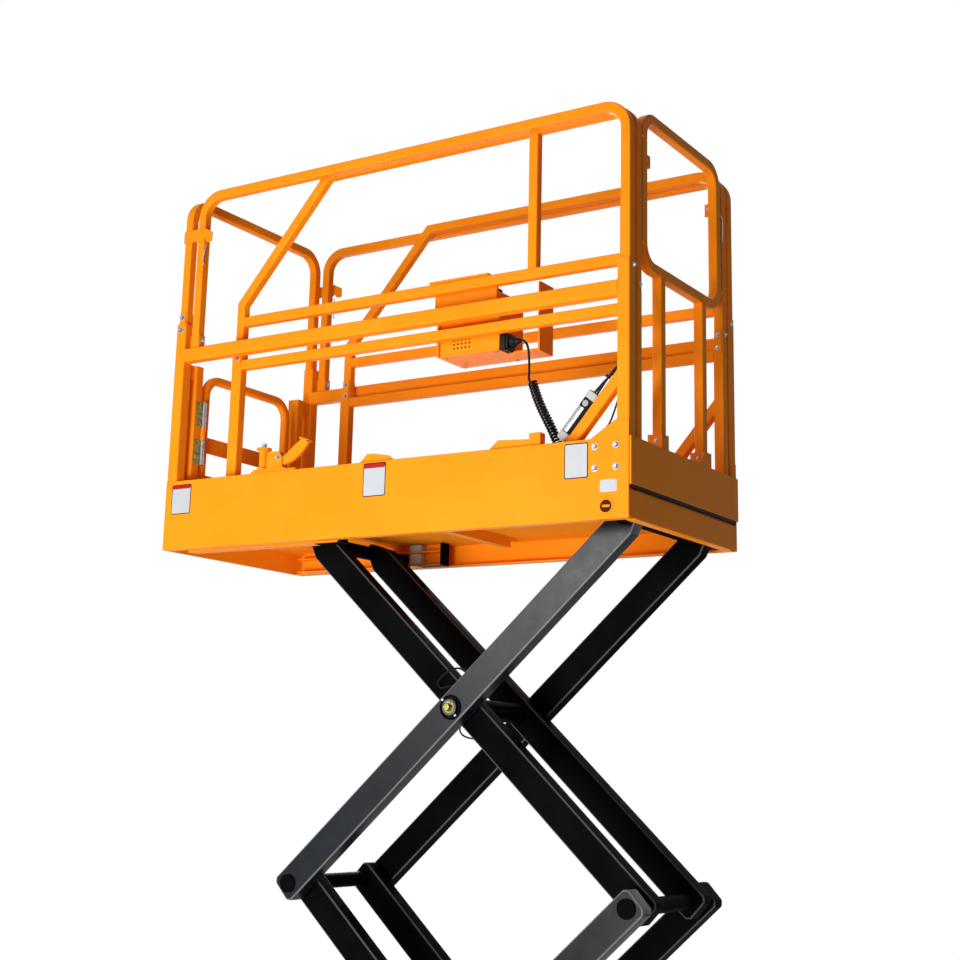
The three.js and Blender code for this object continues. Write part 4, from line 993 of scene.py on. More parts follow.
@dataclass
class GuardRails:
    """The fixed rails: side frames of bent tube on square posts, and the rear frame."""

    site: Site
    length: float = 1.650
    half: float = 0.356
    tube: float = 0.030
    post: float = 0.040
    corner: float = 0.0042
    bend: float = 0.070
    top: float = 1.188
    wide: Span = (0.615, 0.659)
    rear_post: float = 0.745
    front_post: float = 0.718
    skirt: float = 0.2203

    def upper(self, side: int, name: str) -> None:
        """Bend one upper side frame and set it in its sockets.

        Args:
            side: -1 near, 1 far.
            name: Name of the side.
        """
        y = side * (self.half - 0.020)
        mid = self.top - self.tube / 2
        rear, front = 0.077, self.length - 0.016
        line = self.site.line([(rear, y, self.wide[1] + 0.0003), (rear, y, mid), (front, y, mid),
                               (front, y, self.front_post + 0.0003)])
        section = box_section(self.tube, self.tube, self.corner)
        shells = [carried(bent(line, self.bend, 10), section, (0, 1, 0), 0.001)]
        # Bracket that holds the rear leg on the wide rail, with its bolt.
        for x in (rear - 0.0185, rear + 0.0155):
            shells.append(self.site.block((x, x + 0.003), (y - 0.014, y + 0.014),
                                          (self.wide[1] + 0.0004, self.wide[1] + 0.042), 0.0008))
        build_piece(f"side_rail_upper_{name}", shells, [Finish.ORANGE], "platform",
                    (f"upper_side_frame_{name}",))
        bolts = hex_bolt(self.site.at(rear + 0.0186, y, self.wide[1] + 0.024), (1, 0, 0), 0.0062)
        bolts += hex_bolt(self.site.at(rear - 0.0186, y, self.wide[1] + 0.024), (-1, 0, 0), 0.0062)
        bolts += hex_bolt(self.site.at(self.length + 0.0002, side * 0.333, self.front_post - 0.018),
                          (1, 0, 0), 0.0050)
        bolts += hex_bolt(self.site.at(0.020, side * (self.half + 0.0002), self.rear_post - 0.022),
                          (0, side, 0), 0.0072)
        build_piece(f"side_rail_bolts_{name}", bolts, [Finish.ZINC], "platform")

    def lower(self, side: int, name: str) -> None:
        """Weld the posts and the wide mid rail of one side, with the front gusset.

        Args:
            side: -1 near, 1 far.
            name: Name of the side.
        """
        y = side * (self.half - self.post / 2)
        section = box_section(self.post, self.post, 0.005)
        rear, front = self.post / 2, self.length - 0.019
        mid = (self.wide[0] + self.wide[1]) / 2
        shells = [
            carried(self.site.line([(rear, y, self.skirt), (rear, y, self.rear_post)]), section, (0, 1, 0),
                    0.001),
            carried(self.site.line([(front, y, self.skirt), (front, y, self.front_post)]),
                    box_section(self.post, 0.038, 0.005), (0, 1, 0), 0.001),
            carried(self.site.line([(self.post - 0.001, y, mid), (front - 0.018, y, mid)]),
                    box_section(self.post - 0.001, self.wide[1] - self.wide[0], 0.005), (0, 1, 0)),
            weld_round(self.site.at(self.post + 0.001, y, mid), (0.037, 0.042), Plane.YZ),
            weld_round(self.site.at(front - 0.0195, y, mid), (0.037, 0.042), Plane.YZ),
            weld_round(self.site.at(rear, y, self.skirt + 0.0012), (0.038, 0.038), Plane.XY),
            weld_round(self.site.at(front, y, self.skirt + 0.0012), (0.036, 0.038), Plane.XY),
        ]
        gusset = rounded(self.site.xz([(1.533, self.skirt), (1.613, self.skirt), (1.613, 0.270),
                                       (1.600, 0.262)]),
                         0.004)
        shells.append(slab(gusset, Plane.XZ, mirrored(side, (self.half - 0.007, self.half - 0.0006)), 0.001))
        build_piece(f"side_rail_lower_{name}", shells, [Finish.ORANGE], "platform",
                    (f"lower_side_frame_{name}",))

    def rear(self) -> None:
        """Bend the rear frame and hang its corner brackets and lock pins."""
        reach = self.half - 0.008 - self.tube / 2
        mid = self.top - self.tube / 2
        x = 0.019
        line = self.site.line([(x, -reach, self.rear_post + 0.0003), (x, -reach, mid), (x, reach, mid),
                               (x, reach, self.rear_post + 0.0003)])
        shells = [carried(bent(line, self.bend, 10), box_section(self.tube, self.tube, self.corner),
                          (1, 0, 0), 0.001)]
        for side in (-1, 1):
            # Clevis ears either side of the leg, and the latch plate to the side rail.
            for low in (-0.0185, 0.0155):
                shells.append(self.site.block((x - 0.012, x + 0.012),
                                              mirrored(side, (reach + low, reach + low + 0.003)),
                                              (self.rear_post + 0.0004, self.rear_post + 0.040), 0.0008))
            plate = self.site.xz([(0.006, 1.022), (0.094, 1.022), (0.094, 1.030), (0.108, 1.012),
                                  (0.128, 1.014),
                                  (0.128, 1.046), (0.104, 1.058), (0.094, 1.064), (0.006, 1.064)])
            shells.append(slab(rounded(plate, 0.002, 2), Plane.XZ, mirrored(side, (0.3515, 0.3550)), 0.0008))
        build_piece("rear_rail_frame", shells, [Finish.ORANGE], "platform", ("rear_end_frame",))
        fixings = []
        for side in (-1, 1):
            fixings += hex_bolt(self.site.at(x, side * (reach + 0.0187), self.rear_post + 0.022),
                                (0, side, 0), 0.0068)
            pin = self.site.line([(0.098, side * 0.3480, 1.010), (0.099, side * 0.3535, 0.985),
                                  (0.094, side * 0.3535, 0.955), (0.098, side * 0.3535, 0.935)])
            fixings.append(wire(smooth_line(pin, 8), 0.0018, 8))
        build_piece("rear_rail_fixings", fixings, [Finish.ZINC], "platform")

    def build(self) -> None:
        """Build the rails of both sides and the rear."""
        for side, name in SIDES:
            self.upper(side, name)
            self.lower(side, name)
        self.rear()


# -------------------------------------------------------------------- platform
@dataclass
class Platform:
    """Skirts, fixed deck, rear posts, tracks, latch and blank plates."""

    site: Site
    half: float = 0.356
    length: float = 1.650

    def skirts(self) -> None:
        """Skirts with their slide guides, and the bolted corner plates at the front."""
        for side, name in SIDES:
            softened(f"skirt_{name}", Finish.ORANGE, "platform", 0.0016)
            face = side * self.half
            outline = rounded(self.site.xz([(1.534, 0.0005), (1.6495, 0.0005), (1.6495, 0.2665),
                                            (1.613, 0.2665), (1.534, 0.2185)]), 0.003)
            plate = slab(outline, Plane.XZ, mirrored(side, (self.half - 0.0006, self.half + 0.0022)), 0.0008)
            rim = turned(np.array([(0.0215, 0.0), (0.0215, 0.0016), (0.0200, 0.0026), (0.0178, 0.0026),
                                   (0.0170, 0.0016),
                                   (0.0170, 0.0)]), self.site.at(1.583, face + side * 0.0018, 0.034),
                         (0, side, 0), 32, True)
            # A flat dark disc inside the rim paints the socket's hollow: painted shade.
            shade = turned(np.array([(0.0176, 0.0), (0.0176, 0.0008), (0.002, 0.0008)]),
                           self.site.at(1.583, face + side * 0.0019, 0.034), (0, side, 0), 32)
            bar = self.site.block((1.5720, 1.5940), mirrored(side, (self.half + 0.0022, self.half + 0.0034)),
                                  (0.0310, 0.0375), 0.0005)
            build_piece(f"corner_plate_{name}", [plate, rim, shade.painted(1), bar],
                        [Finish.ORANGE, Finish.SOCKET_PAINTED_SHADE], "platform")
            bolts = []
            for x in (1.5485, 1.6120):
                for z in (0.1975, 0.1385):
                    bolts += hex_bolt(self.site.at(x, face + side * 0.0022, z), (0, side, 0), 0.0068)
            build_piece(f"corner_bolts_{name}", bolts, [Finish.ZINC], "platform")

    def plate(self, name: str, x: Span, z: Span, side: int, band: float) -> None:
        """Stick one blank plate on a skirt: a thin rim, a pale face and a plain band.

        Args:
            name: Name of the plate.
            x: Its span along the skirt.
            z: Its span of height.
            side: -1 near, 1 far.
            band: Depth of the band at its top; 0 for none.
        """
        level = self.half + (0.0022 if x[0] > 1.534 else 0.0)
        outline = [(x[0], z[0]), (x[1], z[0]), (x[1], z[1]), (x[0], z[1])]
        back = slab(rounded(self.site.xz(outline), 0.006), Plane.XZ,
                    mirrored(side, (level - 0.0004, level + 0.0005)), 0.0002)
        face = inset(self.site.xz(outline), 0.0028)
        front = slab(rounded(face, 0.0045), Plane.XZ, mirrored(side, (level, level + 0.0008)), 0.0002)
        shells = [back.painted(1), front]
        if band > 0:
            low, high = face.min(0), face.max(0)
            strip = np.array([(low[0], high[1] - band), (high[0], high[1] - band), (high[0], high[1]),
                              (low[0], high[1])])
            shells.append(slab(rounded(strip, 0.0042), Plane.XZ, mirrored(side, (level, level + 0.0010)),
                               0.0002).painted(2))
        rim = Finish.RIM if x[1] - x[0] > 0.06 else Finish.LABEL
        build_piece(name, shells, [Finish.LABEL, rim, Finish.LABEL_RED], "platform")

    def plates(self) -> None:
        """The blank plates of both skirts."""
        for side, name in SIDES:
            self.plate(f"blank_plate_rear_{name}", (0.027, 0.108), (0.112, 0.207), side, 0.011)
            self.plate(f"blank_plate_middle_{name}", (0.781, 0.862), (0.115, 0.215), side, 0.013)
            self.plate(f"blank_plate_front_{name}", (1.4545, 1.5275), (0.115, 0.212), side, 0.0)
            self.plate(f"blank_sticker_{name}", (1.5645, 1.6150), (0.072, 0.105), side, 0.0)

    def latch(self) -> None:
        """The foot latch of the sliding deck: base, spring pin housing, ear and pedal."""
        s = self.site
        y = (-self.half + 0.003, -self.half + 0.035)
        mid = (y[0] + y[1]) / 2
        housing = turned(np.array([(0.0200, 0.0), (0.0208, 0.001), (0.0208, 0.005), (0.0160, 0.006),
                                   (0.0148, 0.008),
                                   (0.0148, 0.061), (0.0230, 0.063), (0.0240, 0.064), (0.0240, 0.068),
                                   (0.0230, 0.069),
                                   (0.004, 0.069)]), s.at(0.379, -self.half + 0.0245, 0.2320), (0, 0, 1), 32)
        ear = rounded(s.xz([(0.403, 0.230), (0.466, 0.230), (0.462, 0.268), (0.450, 0.284), (0.406, 0.285)]),
                      0.006)
        pedal = rounded(s.xz([(0.446, 0.258), (0.462, 0.240), (0.498, 0.250), (0.532, 0.272), (0.560, 0.306),
                              (0.538, 0.320), (0.505, 0.298), (0.478, 0.276)]), 0.007)
        tread = rounded(s.xz([(0.530, 0.3155), (0.5595, 0.3045), (0.5600, 0.3095), (0.5340, 0.3205)]), 0.001)
        shells = [
            s.block((0.345, 0.520), y, (0.2203, 0.2265), 0.001, 0.003),
            s.block((0.352, 0.478), (y[0] + 0.002, y[1] - 0.002), (0.2263, 0.2325), 0.001, 0.003),
            housing,
            slab(ear, Plane.XZ, (y[0] + 0.0045, y[0] + 0.0085), 0.0008),
            slab(ear, Plane.XZ, (y[1] - 0.0085, y[1] - 0.0045), 0.0008),
            s.block((0.403, 0.446), (y[0] + 0.006, y[1] - 0.006), (0.2805, 0.2845), 0.0008),
            slab(pedal, Plane.XZ, (mid - 0.006, mid + 0.006), 0.001),
            slab(tread, Plane.XZ, (y[0] - 0.001, y[1] - 0.001), 0.001),
        ]
        build_piece("foot_latch_body", shells, [Finish.ORANGE], "platform", ("foot_latch",))
        fixings = hex_bolt(s.at(0.448, y[0] + 0.0043, 0.264), (0, -1, 0), 0.0056)
        fixings.append(turned(np.array([(0.0042, 0.0), (0.0042, 0.005), (0.0066, 0.0055), (0.0080, 0.010),
                                        (0.0066, 0.0145),
                                        (0.002, 0.0155)]), s.at(0.379, -self.half + 0.0245, 0.3010),
                              (0, 0, 1), 20))
        fixings.append(turned(np.array([(0.0036, -0.012), (0.0036, 0.012)]), s.at(0.448, mid, 0.264),
                              (0, 1, 0), 14))
        build_piece("foot_latch_fixings", fixings, [Finish.ZINC], "platform")

    def hinges(self) -> None:
        """Two spring hinges of the gate: barrels, end caps and leaves with their screws."""
        s = self.site
        shells = []
        for low, high in ((0.290, 0.372), (0.414, 0.496)):
            centre = s.at(0.046, -0.251, 0.0)[:2]
            rings = np.array([(0.0070, low), (0.0080, low + 0.001), (0.0080, low + 0.012),
                              (0.0068, low + 0.013),
                              (0.0068, low + 0.016), (0.0080, low + 0.017), (0.0080, high - 0.017),
                              (0.0068, high - 0.016),
                              (0.0068, high - 0.013), (0.0080, high - 0.012), (0.0080, high - 0.001),
                              (0.0070, high)])
            shells.append(turned(rings, (*centre, s.z0), (0, 0, 1), 24))
            shells.append(s.block((0.0445, 0.0465), (-0.289, -0.257), (low + 0.001, high - 0.001),
                                  0.0006).painted(1))
            for z in (low + 0.013, (low + high) / 2, high - 0.013):
                shells += [bolt.painted(1) for bolt in hex_bolt(s.at(0.0466, -0.275, z), (1, 0, 0), 0.0036,
                                                                False)]
            shells.append(turned(np.array([(0.0030, 0.0), (0.0046, 0.001), (0.0046, 0.004), (0.0020, 0.006)]),
                                 (*centre, s.z0 + high), (0, 0, 1), 14))
        build_piece("gate_spring_hinges", shells, [Finish.ZINC, Finish.BRASS], "platform",
                    ("gate_hinges",))

    def build(self) -> None:
        """Build the platform's pieces."""
        self.skirts()
        self.plates()
        self.latch()
        self.hinges()
        for node in ("platform_deck", "platform_rear_end", "platform_front_lower_plate"):
            softened(node, Finish.ORANGE, "platform", 0.0012)
        for side, name in SIDES:
            softened(f"platform_track_{name}", Finish.ORANGE, "platform", 0.0008)
            # The end plate is black; the thin black strip under the track's flange is painted shade of its
            # underside.
            ends = [self.site.block((0.6532, 0.6612), mirrored(side, (0.2565, 0.3004)), (-0.0028, 0.0712),
                                    0.0006),
                    self.site.block((0.5620, 0.6536), mirrored(side, (0.2568, 0.3002)), (-0.0028, -0.0018),
                                    0.0003)]
            pads = [self.site.block((0.530, 0.574), mirrored(side, (0.2585, 0.2945)), z, 0.003,
                                    0.006).painted(1)
                    for z in ((0.0025, 0.0405), (0.0465, 0.0700))]
            build_piece(f"track_stop_{name}", ends + pads, [Finish.BLACK, Finish.WHITE], "platform")


@dataclass
class Gate:
    """The rear swing gate: a bent hoop with a mid plate."""

    site: Site
    y: Span = (-0.240, 0.208)
    z: Span = (0.236, 0.604)
    tube: float = 0.028
    bend: float = 0.062
    plate: Span = (0.340, 0.392)

    def build(self) -> None:
        """Bend the hoop, weld the bottom rail and the plate, and dress the knuckles."""
        s = self.site
        t = self.tube
        x = 0.024
        low, high = self.y[0] + t / 2, self.y[1] - t / 2
        section = box_section(t, t, 0.0095, 5)
        line = s.line([(x, low, self.z[0]), (x, low, self.z[1] - t / 2), (x, high, self.z[1] - t / 2),
                       (x, high, self.z[0])])
        bottom = s.line([(x, low + 0.012, self.z[0] + t / 2), (x, high - 0.012, self.z[0] + t / 2)])
        shells = [
            carried(bent(line, self.bend, 12), section, (1, 0, 0), 0.001),
            carried(bottom, box_section(t - 0.001, t - 0.001, 0.004), (1, 0, 0)),
            s.block((0.0205, 0.0275), (self.y[0] + 0.020, self.y[1] - 0.020), self.plate, 0.0008),
        ]
        knuckle = turned(np.array([(0.0072, 0.3723), (0.0080, 0.3733), (0.0080, 0.4127), (0.0072, 0.4137)]),
                         s.at(0.046, -0.251, 0.0), (0, 0, 1), 24)
        arm = s.block((0.0365, 0.0460), (-0.2505, -0.2300), (0.376, 0.410), 0.0008)
        shells += [knuckle, arm]
        build_piece("swing_gate", shells, [Finish.ORANGE], "gate", ("gate",))


# ------------------------------------------------------------------- extension
@dataclass
class SlidingDeck:
    """The sliding deck with its side frames, front loop and toe plate."""

    site: Site
    y: Span = (0.274, 0.306)
    front: float = 1.648
    rear: float = 0.202
    foot: float = 0.0806
    fold: float = 0.640
    top: float = 1.192
    tube: float = 0.030
    thin_low: Span = (0.577, 0.608)
    thin_top: Span = (0.720, 0.752)

    def lower(self, side: int, name: str) -> None:
        """Weld one lower frame: two posts, the thin rail and the slanted brace.

        Args:
            side: -1 near, 1 far.
            name: Name of the side.
        """
        s = self.site
        mid = side * (self.y[0] + self.y[1]) / 2
        wide = self.y[1] - self.y[0]
        z = (self.thin_low[0] + self.thin_low[1]) / 2
        upright = (0, 1, 0)
        shells = [
            carried(s.line([(self.rear + 0.020, mid, self.foot), (self.rear + 0.020, mid, self.fold)]),
                    box_section(wide, 0.040, 0.0042), upright, 0.001),
            carried(s.line([(self.front - 0.016, mid, self.foot), (self.front - 0.016, mid, self.fold)]),
                    box_section(wide, 0.032, 0.0042), upright, 0.001),
            carried(s.line([(self.rear + 0.039, mid, z), (self.front - 0.031, mid, z)]),
                    box_section(wide - 0.001, 0.031, 0.0042), upright),
            weld_round(s.at(self.rear + 0.0405, mid, z), (wide - 0.002, 0.029), Plane.YZ, 0.0018),
            weld_round(s.at(self.front - 0.0328, mid, z), (wide - 0.002, 0.029), Plane.YZ, 0.0018),
        ]
        lean = math.radians(49.5)
        rise = (self.front - 0.016 - 1.318) * math.tan(lean)
        foot, head = (1.318, mid, self.foot), (self.front - 0.016, mid, self.foot + rise)
        brace = carried(s.line([foot, head]), box_section(wide - 0.001, 0.032, 0.0042), upright)
        # The brace's foot is cut level on the deck and its head lies in the post.
        low = brace.points[:, 2] < s.z0 + self.foot
        slope = (brace.points[low, 2] - (s.z0 + self.foot)) / math.tan(lean)
        brace.points[low, 0] -= slope
        brace.points[low, 2] = s.z0 + self.foot
        shells.append(brace)
        # Ears of the folding joints on both posts.
        for x, reach in ((self.rear + 0.025, 0.018), (self.front - 0.016, 0.017)):
            for face in (self.y[0] - 0.0032, self.y[1] + 0.0002):
                ear = rounded(s.xz([(x - reach * 0.7, self.fold - 0.045),
                                    (x + reach * 0.7, self.fold - 0.045),
                                    (x + reach * 0.7, self.fold + 0.030),
                                    (x - reach * 0.7, self.fold + 0.030)]), 0.006)
                shells.append(slab(ear, Plane.XZ, mirrored(side, (face, face + 0.003)), 0.0008))
        build_piece(f"sliding_frame_lower_{name}", shells, [Finish.ORANGE], "extension",
                    (f"extension_lower_frame_{name}",))
        bolts = []
        for x in (self.rear + 0.025, self.front - 0.016):
            for z in (self.fold - 0.026, self.fold + 0.014):
                bolts += hex_bolt(s.at(x, side * (self.y[1] + 0.0032), z), (0, side, 0), 0.0050)
                bolts += hex_bolt(s.at(x, side * (self.y[0] - 0.0032), z), (0, -side, 0), 0.0050)
        bolts += hex_bolt(s.at(self.front + 0.0002, side * 0.288, self.fold + 0.016), (1, 0, 0), 0.0045)
        build_piece(f"sliding_frame_bolts_{name}", bolts, [Finish.ZINC], "extension")

    def upper(self, side: int, name: str) -> None:
        """Bend one upper frame: slanted rear, top rail, front leg, thin rail and post.

        Args:
            side: -1 near, 1 far.
            name: Name of the side.
        """
        s = self.site
        t = self.tube
        mid = side * (self.y[0] + self.y[1]) / 2
        foot = self.fold + 0.0003
        rear, front, top = self.rear + 0.010 + t / 2, self.front - t / 2, self.top - t / 2
        section = box_section(t, t, 0.0042)
        upright = (0, 1, 0)
        slant = s.line([(rear, mid, foot), (rear, mid, 0.7955), (0.5545, mid, top)])
        rail = s.line([(0.5545, mid, top), (front, mid, top), (front, mid, foot)])
        z = (self.thin_top[0] + self.thin_top[1]) / 2
        shells = [
            carried(np.concatenate([slant, bent(rail, 0.070, 10)[1:]]), section, upright, 0.001),
            carried(s.line([(rear + t / 2 - 0.001, mid, z), (front - t / 2 + 0.001, mid, z)]),
                    box_section(t - 0.001, self.thin_top[1] - self.thin_top[0], 0.0042), upright),
            carried(s.line([(1.312, mid, self.thin_top[1] - 0.001), (1.312, mid, top - t / 2 + 0.001)]),
                    box_section(t - 0.001, t, 0.0042), upright),
            weld_round(s.at(1.312, mid, self.thin_top[1] + 0.001), (0.028, 0.028), Plane.XY, 0.0018),
            weld_round(s.at(1.312, mid, top - t / 2 - 0.001), (0.028, 0.028), Plane.XY, 0.0018),
            weld_round(s.at(rear + t / 2 + 0.001, mid, z), (0.028, 0.030), Plane.YZ, 0.0018),
            weld_round(s.at(front - t / 2 - 0.001, mid, z), (0.028, 0.030), Plane.YZ, 0.0018),
        ]
        # Lock tab on the front leg; the far one also gets its pin and lanyard.
        shells.append(s.block((1.590, 1.6185), mirrored(side, (0.278, 0.284)), (1.040, 1.081), 0.001, 0.002))
        lanyard = s.line([(1.602, side * 0.2745, 1.062), (1.612, side * 0.2715, 1.052),
                          (1.640, side * 0.2715, 1.036),
                          (1.6515, side * 0.2715, 1.020), (1.6520, side * 0.2715, 0.985),
                          (1.6510, side * 0.2715, 0.945)])
        build_piece(f"sliding_frame_upper_{name}", shells, [Finish.ORANGE], "extension",
                    (f"extension_upper_frame_{name}",))
        if side > 0:
            pin = hex_bolt(s.at(1.602, side * 0.278, 1.061), (0, -side, 0), 0.0046)
            pin.append(wire(smooth_line(lanyard, 8), 0.0014, 8))
            build_piece("frame_lock_pin", pin, [Finish.ZINC], "extension")

    def loop(self) -> None:
        """Bend the closed loop across the front and weld its two posts under it."""
        s = self.site
        t = self.tube
        x = self.front - t / 2
        y = 0.268 - t / 2
        low, high = 0.715 + t / 2, 1.188 - t / 2
        corners = [(x, 0.0, low), (x, y, low), (x, y, high), (x, -y, high), (x, -y, low), (x, 0.0, low)]
        path = bent(s.line(corners), 0.062, 10)
        shells = [carried(path, box_section(t, t, 0.0042), (1, 0, 0))]
        for at in (-0.138, 0.141):
            shells.append(carried(s.line([(x, at, 0.2623), (x, at, low - t / 2 + 0.001)]),
                                  box_section(t, t - 0.001, 0.0042), (1, 0, 0)))
            shells.append(weld_round(s.at(x, at, low - t / 2 - 0.001), (0.028, 0.028), Plane.XY, 0.0018))
        shells.append(s.block((1.6360, 1.6485), (-0.2405, -0.2220), (1.016, 1.052), 0.001, 0.002))
        for side in (-1, 1):
            # Lugs that tie the loop to the side frames.
            shells.append(s.block((x - 0.012, x + 0.012), mirrored(side, (0.264, 0.2735)), (1.085, 1.115),
                                  0.001, 0.002))
            shells.append(s.block((x - 0.012, x + 0.012), mirrored(side, (0.264, 0.2735)), (0.770, 0.800),
                                  0.001, 0.002))
            for z in (1.100, 0.785):
                shells += hex_bolt(s.at(x + 0.0122, side * 0.2688, z), (1, 0, 0), 0.0045)
        build_piece("front_loop", shells, [Finish.ORANGE], "extension", ("extension_end_loop",))
        bolts = []
        for at in (-0.138, 0.141):
            bolts += hex_bolt(s.at(self.front - 0.0402, at, 0.200), (-1, 0, 0), 0.0060)
            bolts += hex_bolt(s.at(x, at - 0.0222, 0.244), (0, -1, 0), 0.0036)
        build_piece("front_loop_bolts", bolts, [Finish.ZINC], "extension")

    def canister(self) -> None:
        """The canister on the near brace: body, pale collars, dark neck and its two lines."""
        s = self.site
        lean = math.radians(49.5)
        along = np.array((math.cos(lean), 0.0, math.sin(lean)))
        lift = np.array((-math.sin(lean), 0.0, math.cos(lean))) * (0.016 + 0.017 + 0.0003)
        base = np.array(s.at(1.318, -0.290, self.foot)) + lift
        def sleeve(low: float, high: float, wide: float, deep: float, off: float, corner: float) -> Shell:
            """One rounded length of the canister, moved away from the brace by `off`."""
            section = box_section(wide, deep, corner) + (0.0, off)
            return carried(np.array([base + along * low, base + along * high]), section, (0, 1, 0), 0.0012)

        shells = [
            sleeve(0.183, 0.207, 0.0330, 0.0340, 0.0, 0.0110).painted(1),
            sleeve(0.207, 0.291, 0.0260, 0.0215, 0.0055, 0.0050),
            # This dark strip along the body's side toward the brace is painted shade.
            sleeve(0.206, 0.292, 0.0300, 0.0120, -0.0105, 0.0030).painted(2),
            sleeve(0.291, 0.320, 0.0310, 0.0320, 0.0, 0.0060).painted(2),
            turned(np.array([(0.0085, 0.0), (0.0095, 0.0008), (0.0090, 0.0016), (0.002, 0.0020)]),
                   base + along * 0.305 + (0.0, -0.0154, 0.0), (0, -1, 0), 24).painted(3),
            sleeve(0.320, 0.342, 0.0330, 0.0350, 0.0, 0.0080).painted(1),
        ]
        build_piece("canister_bottle", shells, [Finish.CLEAR, Finish.WHITE, Finish.RIM, Finish.GREY],
                    "extension", ("canister",))
        lines = []
        for offset, end in ((-0.0065, 0.470), (0.0065, 0.440)):
            start = base + along * 0.341 + lift * offset / 0.033 + (0.0, offset / 2, 0.0)
            stop = base + along * end + np.array((0, offset, 0)) - lift * 0.35
            middle = (start + stop) / 2 + lift * 0.12
            lines.append(wire(smooth_line(np.array([start, middle, stop]), 8), 0.0034, 8))
        clip = base + along * 0.40
        lines.append(turned(np.array([(0.0075, -0.004), (0.0080, -0.003), (0.0080, 0.003), (0.0075, 0.004)]),
                            clip, along, 18))
        build_piece("canister_lines", lines, [Finish.PLASTIC], "extension")

    def build(self) -> None:
        """Build the sliding deck's pieces."""
        s = self.site
        softened("extension_deck", Finish.ORANGE, "extension", 0.0008)
        softened("extension_toe_plate", Finish.ORANGE, "extension", 0.0012)
        for side, name in SIDES:
            self.lower(side, name)
            self.upper(side, name)
        self.loop()
        self.canister()
        # A thin black block fills the gap between the toe plate and the lower front plate: painted shade of
        # that gap.
        gap_shade = [s.block((1.6450, 1.6552), (-0.345, 0.345), (0.0806, 0.0900), 0.0008)]
        build_piece("front_seal", gap_shade, [Finish.RIM], "extension")
        hose = s.line([(1.5780, -0.262, 0.375), (1.5621, -0.257, 0.335), (1.5407, -0.255, 0.286),
                       (1.5192, -0.255, 0.262), (1.4700, -0.256, 0.205), (1.4400, -0.255, 0.083)])
        build_piece("brace_hose", [wire(smooth_line(hose, 8), 0.0026, 8)], [Finish.CORD], "extension")


